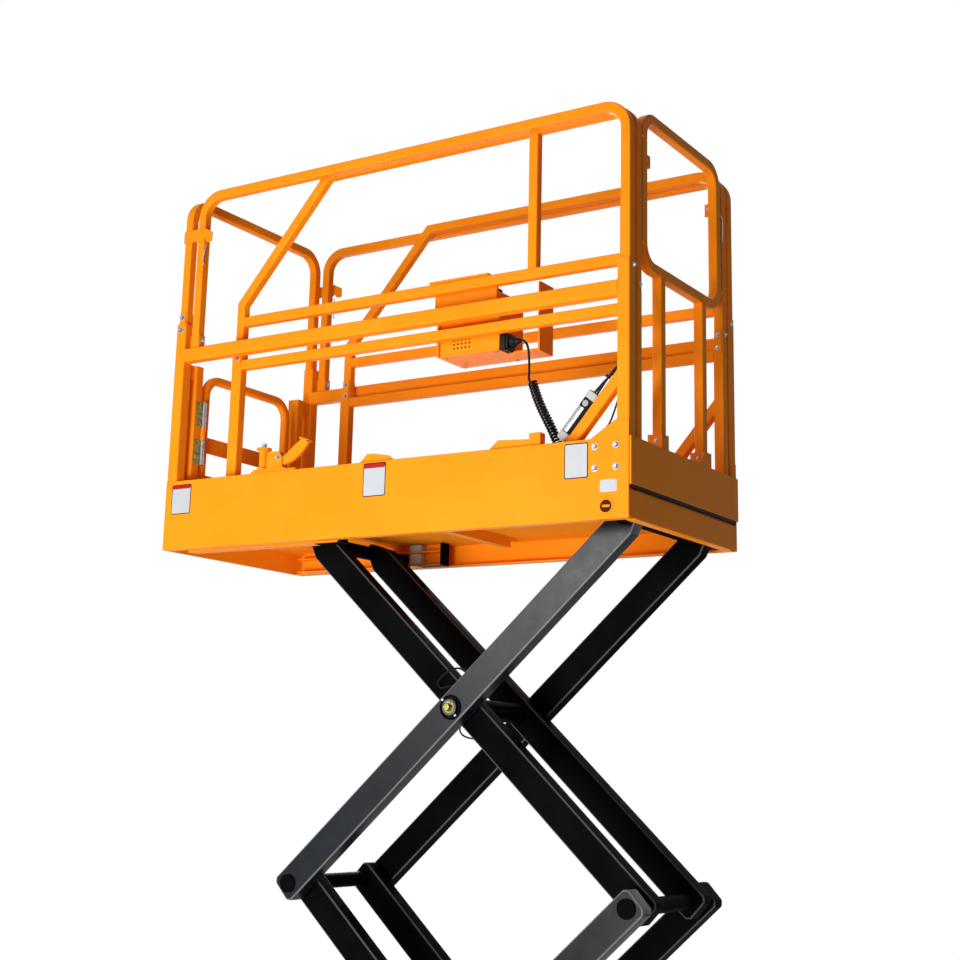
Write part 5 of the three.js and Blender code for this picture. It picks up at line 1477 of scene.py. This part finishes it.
@dataclass
class ControlStation:
    """The control box on its sheet bracket, hung over the thin rail."""

    site: Site
    x: Span = (0.977, 1.182)
    y: Span = (-0.262, -0.124)
    z: Span = (0.543, 0.712)

    def case(self) -> None:
        """Fold the box: lower case, lid seam, vent holes in rows drawn as flat dark discs of painted shade,
        and small screws.
        """
        s = self.site
        shells = [
            s.block(self.x, self.y, (self.z[0], self.z[1] - 0.0345), 0.0015, 0.003),
            s.block(self.x, self.y, (self.z[1] - 0.034, self.z[1]), 0.0015, 0.003),
        ]
        # The vent holes are not cut: thin black discs paint the shade inside them.
        dark = []
        for i in range(5):
            for j in range(4):
                at = s.at(self.x[0] + 0.049 + 0.0135 * i, self.y[0] - 0.0002, self.z[0] + 0.014 + 0.0123 * j)
                dark.append(turned(np.array([(0.0031, 0.0), (0.0031, 0.0004), (0.0006, 0.0004)]), at,
                                   (0, -1, 0), 10).painted(1))
        build_piece("control_case", shells + dark, [Finish.ORANGE, Finish.RIM], "extension",
                    ("control_box",))
        screws = []
        for x, y in ((0.992, -0.251), (1.168, -0.251), (0.990, -0.138), (1.172, -0.138)):
            screws += hex_bolt(s.at(x, y, 0.5349), (0, 0, -1), 0.0042, False)
        build_piece("control_case_screws", screws, [Finish.ZINC], "extension")

    def controls(self) -> None:
        """Stop button, lever and switches on the top of the case, all unlettered."""
        s = self.site
        top = self.z[1]
        parts = [
            turned(np.array([(0.0165, 0.0), (0.0165, 0.004), (0.0090, 0.005), (0.0090, 0.011),
                             (0.0165, 0.0125),
                             (0.0185, 0.017), (0.0170, 0.0225), (0.0100, 0.0250), (0.002, 0.0255)]),
                   s.at(1.019, -0.165, top), (0, 0, 1), 32),
        ]
        build_piece("stop_button", parts, [Finish.RED], "extension")
        boot = turned(np.array([(0.0240, 0.0), (0.0245, 0.003), (0.0190, 0.008), (0.0205, 0.011),
                                (0.0155, 0.016),
                                (0.0170, 0.019), (0.0120, 0.022)]), s.at(1.128, -0.180, top), (0, 0, 1), 32)
        grip = slab(rounded(s.xz([(1.121, top + 0.020), (1.135, top + 0.020), (1.137, top + 0.034),
                                  (1.128, top + 0.039),
                                  (1.119, top + 0.034)]), 0.004), Plane.XZ, (-0.191, -0.169), 0.004)
        switches = []
        for x in (1.060, 1.083):
            switches.append(s.block((x - 0.009, x + 0.009), (-0.176, -0.160), (top, top + 0.003), 0.0008,
                                    0.002))
            switches.append(turned(np.array([(0.0032, 0.0), (0.0032, 0.006), (0.0022, 0.008), (0.0028, 0.020),
                                             (0.0020, 0.022)]), s.at(x, -0.168, top + 0.003), (0.15, 0, 1),
                                   12))
        build_piece("control_lever_and_switches", [boot, grip] + switches, [Finish.PLASTIC], "extension")

    def bracket(self) -> None:
        """Fold the sheet bracket: hook over the rail, back plate, tray and end plate."""
        softened("control_box_bracket", Finish.ORANGE, "extension", 0.0009)

    def connector(self) -> None:
        """The cord's connector: flange, square shell, ribbed nut and strain relief."""
        s = self.site
        x0 = self.x[1] + 0.0003
        y, z = -0.232, 0.5625
        shell = [s.block((x0 + a, x0 + b), (y - h, y + h), (z - h, z + h), 0.001, 0.002)
                 for a, b, h in ((0.0, 0.016, 0.0252), (0.0158, 0.024, 0.0225))]
        nut = turned(np.array([(0.0165, 0.0238), (0.0175, 0.0250), (0.0175, 0.0350), (0.0150, 0.0380),
                               (0.0115, 0.0400),
                               (0.0105, 0.0465), (0.0080, 0.0500), (0.0065, 0.0555), (0.0042, 0.0568)]),
                     s.at(x0, y, z), (1, 0, 0), 32)
        turn = np.linspace(0, 2 * np.pi, 18, endpoint=False)
        ribs = [s.block((x0 + 0.026, x0 + 0.034), (y + dy - 0.0010, y + dy + 0.0010),
                        (z + dz - 0.0010, z + dz + 0.0010),
                        0.0005, 0.0005) for dy,
                dz in (0.0176 * np.stack([np.cos(turn), np.sin(turn)], 1)).tolist()]
        build_piece("cord_connector", shell + [nut] + ribs, [Finish.PLASTIC], "extension",
                    ("control_plug",))

    def build(self) -> None:
        """Build the control box, its bracket and its connector."""
        self.case()
        self.controls()
        self.bracket()
        self.connector()


# --------------------------------------------------------------- scissor stack
@dataclass(frozen=True)
class ArmPair:
    """One pair of crossed arms: its name, its pins and which ends fold into a housing."""

    name: str
    body: str
    y: Span
    start: tuple[float, float]
    end: tuple[float, float]
    noses: tuple[bool, bool]


@dataclass
class ScissorStack:
    """Two crossings of square-tube arms, with their cross tubes, pins, rollers and bolts."""

    height: float = 0.086
    inner: Span = (0.126, 0.178)
    outer: Span = (0.198, 0.250)
    pin: float = 0.017
    tube: float = 0.022
    head: float = 0.026
    gap: float = 0.0003
    corner: float = 0.006
    chassis_lug: Span = (0.184, 0.194)
    platform_lug: Span = (0.256, 0.264)
    roller: tuple[float, float, float] = (0.019, 0.262, 0.292)

    def outline(self, pair: ArmPair) -> Array:
        """Outline of one arm in x and z, from the places of its two pins.

        Args:
            pair: The pair of arms.

        Returns:
            Corner points: blunt noses where an end folds away, square cuts elsewhere.
        """
        h = self.height / 2
        a, b = np.array(pair.start), np.array(pair.end)
        length = float(np.linalg.norm(b - a))
        u = (b - a) / length
        v = np.array((-u[1], u[0]))
        tips = [(0.044, 0.012, 0.026) if nose else (0.036, h - 0.012, -0.024) for nose in pair.noses]
        (ra, ba, ka), (rb, bb, kb) = tips
        local = np.array([(-ra, -ba), (ka, -h), (length - kb, -h), (length + rb, -bb), (length + rb, bb),
                          (length - kb, h), (ka, h), (-ra, ba)])
        return a + local[:, :1] * u + local[:, 1:] * v

    def shaft(self, steps: list[tuple[float, float, float]], at: tuple[float, float]) -> Shell:
        """A stepped shaft across the lift, the same on both sides.

        Args:
            steps: Its steps from the middle outward: from y, to y, radius.
            at: Its place in x and z.

        Returns:
            The closed shaft, each step with a small chamfer.
        """
        half = []
        for low, high, radius in steps:
            start = low if low > 0 else 0.0
            half += [(radius, start + 0.0006) if start > 0 else (radius, 0.0), (radius, high - 0.0010),
                     (radius - 0.0010, high)]
        half.append((0.003, steps[-1][1]))
        half = np.array(half)
        whole = np.concatenate([half[::-1] * (1, -1), half[1:]])
        return turned(whole, (at[0], 0.0, at[1]), (0, 1, 0), 36)

    def arms(self, pair: ArmPair) -> list[Shell]:
        """Both arms of a pair, near and far, as rounded tubes closed at their ends."""
        outline = rounded(self.outline(pair), 0.004, 2)
        return [slab(outline, Plane.XZ, mirrored(side, pair.y), self.corner) for side in (-1, 1)]

    def bosses(self, pair: ArmPair, places: list[tuple[float, float]]) -> list[Shell]:
        """Welded collar rings round the pins on an arm's faces.

        Args:
            pair: The pair of arms.
            places: Pins, as x and z.

        Returns:
            The rings, on the faces that don't meet another arm.
        """
        rings = []
        face = pair.y[1] if pair.y == self.outer else pair.y[0]
        away = 1 if pair.y == self.outer else -1
        for side in (-1, 1):
            for x, z in places:
                profile = np.array([(self.head + 0.002, 0.0), (self.head + 0.009, 0.0),
                                    (self.head + 0.0085, 0.0035),
                                    (self.head + 0.006, 0.0048), (self.head + 0.003, 0.0048),
                                    (self.head + 0.002, 0.0038)])
                rings.append(turned(profile, (x, side * face, z), (0, side * away, 0), 36, True))
        return rings

    def build(self, pins: dict[str, tuple[float, float]]) -> None:
        """Build the four pairs, their shafts and the bolts at their pivots.

        Args:
            pins: Places of the front pins and crossings in x and z.
        """
        # The second finish is the lit copy of the black paint: a painted highlight that only the near outer
        # arm gets.
        black, gloss = Finish.BLACK, Finish.NEAR_ARM_LIT_BLACK
        front, mid, top = pins["lift"], pins["mid_pivot"], pins["platform_pivot"]
        low_cross, high_cross = pins["lower_cross_pivot"], pins["upper_cross_pivot"]
        rear_low = (2 * low_cross[0] - mid[0], 2 * low_cross[1] - mid[1])
        rear_mid = (2 * low_cross[0] - front[0], 2 * low_cross[1] - front[1])
        rear_top = (2 * high_cross[0] - mid[0], 2 * high_cross[1] - mid[1])
        g, inner, outer = self.gap, self.inner, self.outer
        centre = [(0.0, inner[0] - g, 0.030), (inner[0] - g, inner[1] + g, self.pin),
                  (inner[1] + g, outer[0] - g, self.head),
                  (outer[0] - g, outer[1] + g, self.pin), (outer[1] + g, outer[1] + 0.008, self.head)]
        joint = [(0.0, inner[0] - g, self.tube)] + centre[1:4] + [(outer[1] + g, outer[1] + 0.007, self.head)]
        foot = [(0.0, inner[0] - g, self.tube), (inner[0] - g, self.chassis_lug[1] + g, self.pin),
                (self.chassis_lug[1] + g, self.chassis_lug[1] + 0.007, self.head)]
        crown = [(0.0, outer[0] - g, self.tube), (outer[0] - g, self.platform_lug[1] + g, self.pin),
                 (self.platform_lug[1] + g, self.platform_lug[1] + 0.007, self.head)]
        rolling = [(0.0, outer[0] - g, self.tube), (outer[0] - g, self.roller[1], self.pin),
                   (self.roller[1], self.roller[2], self.roller[0])]
        rolling_inner = [(0.0, inner[0] - g, self.tube), (inner[0] - g, self.roller[1], self.pin),
                         (self.roller[1], self.roller[2], self.roller[0])]
        pairs = [
            (ArmPair("lower_inner_arm", "lower_inner_arms", inner, front, rear_mid, (True, False)),
             [(foot, front), (centre, low_cross), (joint, rear_mid)]),
            (ArmPair("lower_outer_arm", "lower_outer_arms", outer, rear_low, mid, (True, False)),
             [(rolling, rear_low), (joint, mid)]),
            (ArmPair("upper_inner_arm", "upper_inner_arms", inner, mid, rear_top, (False, True)),
             [(centre, high_cross), (rolling_inner, rear_top)]),
            (ArmPair("upper_outer_arm", "upper_outer_arms", outer, rear_mid, top, (False, True)),
             [(crown, top)]),
        ]
        for pair, shafts in pairs:
            near, far = self.arms(pair)
            shells = [near.painted(1 if pair.y == outer else 0), far] + [self.shaft(steps, at) for steps,
                                                                         at in shafts]
            if pair.y == outer:
                shells += self.bosses(pair, [low_cross if pair.name.startswith("lower") else high_cross])
            if pair.name == "lower_inner_arm":
                shells += self.lever(front, rear_mid)
            build_piece(f"{pair.name}s_finished", shells, [black, gloss], pair.body,
                        (f"{pair.name}_near_with_shafts", f"{pair.name}_far"))
        self.pivot_bolts(low_cross, high_cross)
        self.cables(high_cross)

    def lever(self, start: tuple[float, float], end: tuple[float, float]) -> list[Shell]:
        """Lever plates of the lower inner pair, with the pin stubs and the brace tube.

        Args:
            start: The pair's front pin.
            end: The pair's rear pin.

        Returns:
            The closed plates, tube and stubs.
        """
        a, b = np.array(start), np.array(end)
        u = (b - a) / np.linalg.norm(b - a)
        v = np.array((-u[1], u[0]))
        local = np.array([(-0.026, 0.0), (0.0, 0.026), (0.040, 0.016), (0.120, -0.052), (0.134, -0.120),
                          (0.110, -0.136), (0.084, -0.116)])
        outline = rounded(a + local[:, :1] * u + local[:, 1:] * v, 0.010, 4)
        eye = a + 0.110 * u - 0.110 * v
        tie = a + 0.066 * u - 0.052 * v
        shells = [slab(outline, Plane.XZ, mirrored(side, (0.026, 0.038)), 0.0012) for side in (-1, 1)]
        for side in (-1, 1):
            stub = np.array([(0.0110, 0.0203), (0.0120, 0.0213), (0.0120, 0.0430), (0.0110, 0.0440)])
            shells.append(turned(stub, (eye[0], 0.0, eye[1]), (0, side, 0), 24))
        brace = np.array([(0.0180, -self.inner[0] - 0.002), (0.0180, self.inner[0] - self.gap)])
        shells.append(turned(brace, (tie[0], 0.0, tie[1]), (0, 1, 0), 24))
        return shells

    def pivot_bolts(self, low_cross: tuple[float, float], high_cross: tuple[float, float]) -> None:
        """Plated bolts with their washers, and the keeper screws beside them."""
        face = self.outer[1] + 0.008
        for name, body, (x, z) in (("lower", "lower_inner_arms", low_cross),
                                   ("upper", "upper_inner_arms", high_cross)):
            shells = []
            for side in (-1, 1):
                shells += hex_bolt((x, side * face, z), (0, side, 0), 0.0115)
                disc = turned(np.array([(0.0225, 0.0), (0.0230, 0.0006), (0.0230, 0.0018), (0.0215, 0.0024),
                                        (0.003, 0.0024)]),
                              (x, side * (face - 0.0006), z), (0, side, 0), 32)
                shells.append(disc.painted(1))
                for dx, dz in ((-0.025, 0.021), (0.018, -0.022)):
                    for screw in hex_bolt((x + dx, side * (self.outer[1] + 0.0002), z + dz), (0, side, 0),
                                          0.0046, False):
                        shells.append(screw.painted(2))
            build_piece(f"{name}_pivot_bolts", [s for s in shells if s.finish < 2],
                        [Finish.BRASS, Finish.DARK_STEEL], body)
            screws = [s.painted(0) for s in shells if s.finish == 2]
            build_piece(f"{name}_keeper_screws", screws, [Finish.ZINC], body.replace("inner", "outer"))

    def cables(self, cross: tuple[float, float]) -> None:
        """Two cables at the near side of the upper crossing, and a tail on the outer arm.

        Each row is a point in x, y and z, with x and z measured from the crossing.

        Args:
            cross: Place of the crossing in x and z.
        """
        at = np.array((cross[0], 0.0, cross[1]))
        loop = at + np.array([(0.030, -0.188, 0.062), (0.028, -0.188, 0.084), (0.006, -0.189, 0.104),
                              (-0.015, -0.189, 0.113), (-0.042, -0.190, 0.108), (-0.072, -0.190, 0.090),
                              (-0.086, -0.189, 0.070), (-0.070, -0.188, 0.058), (-0.040, -0.188, 0.064),
                              (-0.010, -0.188, 0.062), (0.008, -0.188, 0.040)])
        tail = at + np.array([(-0.012, -0.188, 0.040), (0.000, -0.188, 0.076), (0.030, -0.188, 0.104),
                              (0.056, -0.188, 0.126), (0.084, -0.188, 0.146), (0.106, -0.188, 0.138)])
        under = at + np.array([(-0.022, -0.112, -0.020), (-0.054, -0.112, -0.048), (-0.047, -0.112, -0.0715),
                               (-0.008, -0.112, -0.0820), (0.028, -0.112, -0.070), (0.024, -0.112, -0.024)])
        rim = [Finish.RIM]
        build_piece("arm_cables",
                    [wire(smooth_line(loop, 10), 0.0030, 8), wire(smooth_line(under, 10), 0.0025, 8)],
                    rim, "upper_inner_arms")
        build_piece("arm_cable_tail", [wire(smooth_line(tail, 10), 0.0030, 8)], rim, "upper_outer_arms")


@dataclass
class LiftCylinder:
    """The lift cylinder: barrel with its gland nut, weld rings and port, and its rod."""

    def build(self, foot: tuple[float, float], eye_along: tuple[float, float]) -> None:
        """Dress barrel and rod.

        Args:
            foot: Place of the base pin in x and z.
            eye_along: Direction of the cylinder in x and z.
        """
        softened("lift_cylinder_barrel", Finish.GREY, "cylinder_barrel", 0.0012)
        softened("lift_cylinder_rod", Finish.CHROME, "cylinder_rod", 0.0008)
        u = np.array((eye_along[0], 0.0, eye_along[1]))
        base = np.array((foot[0], 0.0, foot[1]))
        nut = turned(np.array([(0.0325, 0.462), (0.0345, 0.464), (0.0345, 0.486), (0.0325, 0.489),
                               (0.0250, 0.4895), (0.0175, 0.4895), (0.0175, 0.462)]), base, u, 6 * 6, True)
        ring = turned(np.array([(0.0321, 0.050), (0.0345, 0.052), (0.0345, 0.056), (0.0321, 0.058)]), base, u,
                      36, True)
        up = np.array((-u[2], 0.0, u[0]))
        port = turned(np.array([(0.0100, 0.0), (0.0100, 0.016), (0.0085, 0.018), (0.0085, 0.030),
                                (0.0060, 0.031)]),
                      base + u * 0.09 + up * 0.030, up, 24)
        build_piece("cylinder_fittings", [nut, ring, port], [Finish.GREY], "cylinder_barrel")


# --------------------------------------------------------------------- chassis
@dataclass
class Wheels:
    """Four solid tyres on dished rims with their wheel nuts."""

    radius: float = 0.150
    width: float = 0.096
    rim: float = 0.098

    def tyre(self, centre: Point, side: int) -> list[Shell]:
        """One tyre: a turned body with shallow grooves.

        Args:
            centre: Middle of the wheel.
            side: Not used.

        Returns:
            The closed tyre.
        """
        w = self.width / 2
        r = self.radius
        groove = []
        for at in (-0.022, 0.0, 0.022):
            groove += [(r, at - 0.0032), (r - 0.0042, at - 0.0022), (r - 0.0042, at + 0.0022),
                       (r, at + 0.0032)]
        profile = [(self.rim + 0.0006, -w + 0.006), (self.rim + 0.0060, -w + 0.0015), (self.rim + 0.012, -w),
                   (r - 0.022, -w + 0.0005), (r - 0.018, -w), (r - 0.011, -w + 0.001),
                   (r - 0.004, -w + 0.006), (r - 0.001, -w + 0.0115), (r, -w + 0.018)]
        mirror = [(a, -b) for a, b in profile[::-1]]
        return [turned(np.array(profile + groove + mirror), centre, (0, 1, 0), 96, True)]

    def rim_shell(self, centre: Point, side: int) -> list[Shell]:
        """One rim: rolled edges, a dished disc and a hub with its cap.

        Args:
            centre: Middle of the wheel.
            side: -1 near, 1 far: the side that the dish opens to.

        Returns:
            The closed rim and its cap.
        """
        profile = np.array([
            (0.0156, -0.030), (0.0890, -0.030), (0.0895, -0.0385), (0.0905, -0.040), (0.0970, -0.040),
                            (0.0980, -0.039),
            (0.0980, 0.0405), (0.0970, 0.042), (0.0925, 0.042), (0.0912, 0.0405), (0.0900, 0.030),
                            (0.0875, 0.012),
            (0.0840, 0.0085), (0.0780, 0.0070), (0.0620, 0.0045), (0.0500, 0.0025), (0.0440, 0.0050),
                            (0.0415, 0.0160),
            (0.0400, 0.0180), (0.0156, 0.0180)])
        cap = turned(np.array([(0.0300, 0.0182), (0.0300, 0.0230), (0.0280, 0.0262), (0.0200, 0.0290),
                               (0.0040, 0.0300)]),
                     centre, (0, side, 0), 40)
        return [turned(profile, centre, (0, side, 0), 64, True), cap]

    def build(self) -> None:
        """Build the four wheels and their nuts."""
        for end in ("front", "rear"):
            for side, name in SIDES:
                body = f"wheel_{end}_{name}"
                low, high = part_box(f"tyre_{end}_{name}")
                centre = tuple((a + b) / 2 for a, b in zip(low, high))
                build_piece(f"{body}_tyre", self.tyre(centre, side), [Finish.TYRE], body,
                            (f"tyre_{end}_{name}",))
                build_piece(f"{body}_rim", self.rim_shell(centre, side), [Finish.GREY], body,
                            (f"rim_{end}_{name}",))
                nuts = []
                for turn in np.radians(np.arange(5) * 72 + 18).tolist():
                    at = (centre[0] + 0.060 * math.cos(turn), centre[1] + side * 0.0042,
                          centre[2] + 0.060 * math.sin(turn))
                    nuts += hex_bolt(at, (0, side, 0), 0.0085)
                build_piece(f"{body}_nuts", nuts, [Finish.ZINC], body)


@dataclass
class Chassis:
    """The chassis with its cabinets and their two doors."""

    recess: float = 0.0050
    louvres: int = 6
    louvre_pitch: float = 0.014
    louvre_run: Span = (0.080, 0.240)
    latch: Span = (0.190, 0.232)

    def build(self) -> None:
        """Finish the chassis nodes and build both doors."""
        black, orange, grey = Finish.BLACK, Finish.ORANGE, Finish.GREY
        softened("chassis_frame", black, "chassis", 0.0014)
        softened("chassis_spine", black, "chassis", 0.0020)
        softened("steering_cylinder", grey, "chassis", 0.0008)
        softened("battery_block", Finish.PLASTIC, "chassis", 0.0040)
        softened("power_unit_block", grey, "chassis", 0.0040)
        for side, name in SIDES:
            softened(f"chassis_track_{name}", black, "chassis", 0.0008)
            softened(f"cabinet_{name}", orange, "chassis", 0.0012)
            softened(f"steering_knuckle_{name}", black, f"knuckle_{name}", 0.0010)
            self.door_fittings(side, name)

    def door_fittings(self, side: int, name: str) -> None:
        """One cabinet door with a recessed field, its latch and its louvres.

        Each ring of the door is the outline moved in by a depth, at its own place across the sheet.

        Args:
            side: -1 near, 1 far.
            name: Name of the side.
        """
        low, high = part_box(f"cabinet_door_{name}")
        back, front = (high[1], low[1]) if side < 0 else (low[1], high[1])
        face = front - side * self.recess
        steps = [(0.0010, 0.003, back), (0.0, 0.004, back + side * 0.0010),
                 (0.0, 0.004, front - side * 0.0015),
                 (0.0015, 0.003, front), (0.0120, 0.008, front), (0.0135, 0.008, front - side * 0.0012),
                 (0.0145, 0.007, front - side * 0.0042), (0.0160, 0.006, face)]
        rings = []
        for depth, corner, y in steps:
            x, z = (low[0] + depth, high[0] - depth), (low[2] + depth, high[2] - depth)
            flat = rounded(np.array([(x[0], z[0]), (x[1], z[0]), (x[1], z[1]), (x[0], z[1])]), corner, 4)
            rings.append(np.stack([flat[:, 0], np.full(len(flat), y), flat[:, 1]], 1))
        door = loft(np.array(rings), np.array([1, 0, 0, 1, 1, 0, 0, 0]))
        node = f"cabinet_door_{name}"
        build_piece(f"{node}_finished", [door], [Finish.ORANGE], f"door_{name}", (node,))
        shells = []
        for i in range(self.louvres):
            z = low[2] + 0.055 + self.louvre_pitch * i
            outline = np.array([(z, 0.0), (z + 0.009, 0.0), (z + 0.002, 0.0045)])
            xz = np.stack([face + side * outline[:, 1], outline[:, 0]], 1)
            span = (low[0] + self.louvre_run[0], low[0] + self.louvre_run[1])
            shells.append(slab(rounded(xz, 0.001, 2), Plane.YZ, span, 0.002))
        build_piece(f"door_louvres_{name}", shells, [Finish.ORANGE], f"door_{name}")
        x = (high[0] - 0.060, high[0] - 0.022)
        plate = np.array([(x[0], self.latch[0]), (x[1], self.latch[0]), (x[1], self.latch[1]),
                          (x[0], self.latch[1])])
        knob = np.array([(0.0075, 0.0015), (0.0080, 0.0022), (0.0080, 0.0040), (0.0065, 0.0048),
                         (0.002, 0.0048)])
        centre = (high[0] - 0.041, face, sum(self.latch) / 2)
        latch = [slab(rounded(plate, 0.004), Plane.XZ, tuple(sorted((face, face + side * 0.0020))), 0.001),
                 turned(knob, centre, (0, side, 0), 24)]
        build_piece(f"door_latch_{name}", latch, [Finish.DARK_STEEL], f"door_{name}")


def main() -> None:
    """Build the lift's pieces in order and report each of them."""
    logging.basicConfig(level=logging.INFO, format="%(message)s")
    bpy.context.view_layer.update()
    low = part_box("skirt_near")[0]
    site = Site(low[0], low[2])
    joints = {j["name"]: j for j in FRAME["record"]["behaviour"]["joints"]}
    pins = {name: (j["pos_m"][0], j["pos_m"][2]) for name, j in joints.items() if "pos_m" in j}
    Studio().build()
    CurlyCord(site).build()
    GuardRails(site).build()
    Platform(site).build()
    Gate(site).build()
    SlidingDeck(site).build()
    ControlStation(site).build()
    ScissorStack().build(pins)
    stroke = joints["cylinder_stroke"]["axis"]
    LiftCylinder().build(pins["cylinder_foot"], (stroke[0], stroke[2]))
    Chassis().build()
    Wheels().build()


with open("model.json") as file:
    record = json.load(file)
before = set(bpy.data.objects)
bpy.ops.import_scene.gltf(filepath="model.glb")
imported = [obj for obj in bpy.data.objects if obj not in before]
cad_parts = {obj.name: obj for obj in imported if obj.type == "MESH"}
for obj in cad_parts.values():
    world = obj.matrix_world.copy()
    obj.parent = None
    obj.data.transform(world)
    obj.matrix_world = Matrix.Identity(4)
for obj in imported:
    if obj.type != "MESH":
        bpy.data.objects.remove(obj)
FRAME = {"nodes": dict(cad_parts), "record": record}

if __name__ == "__main__":
    main()
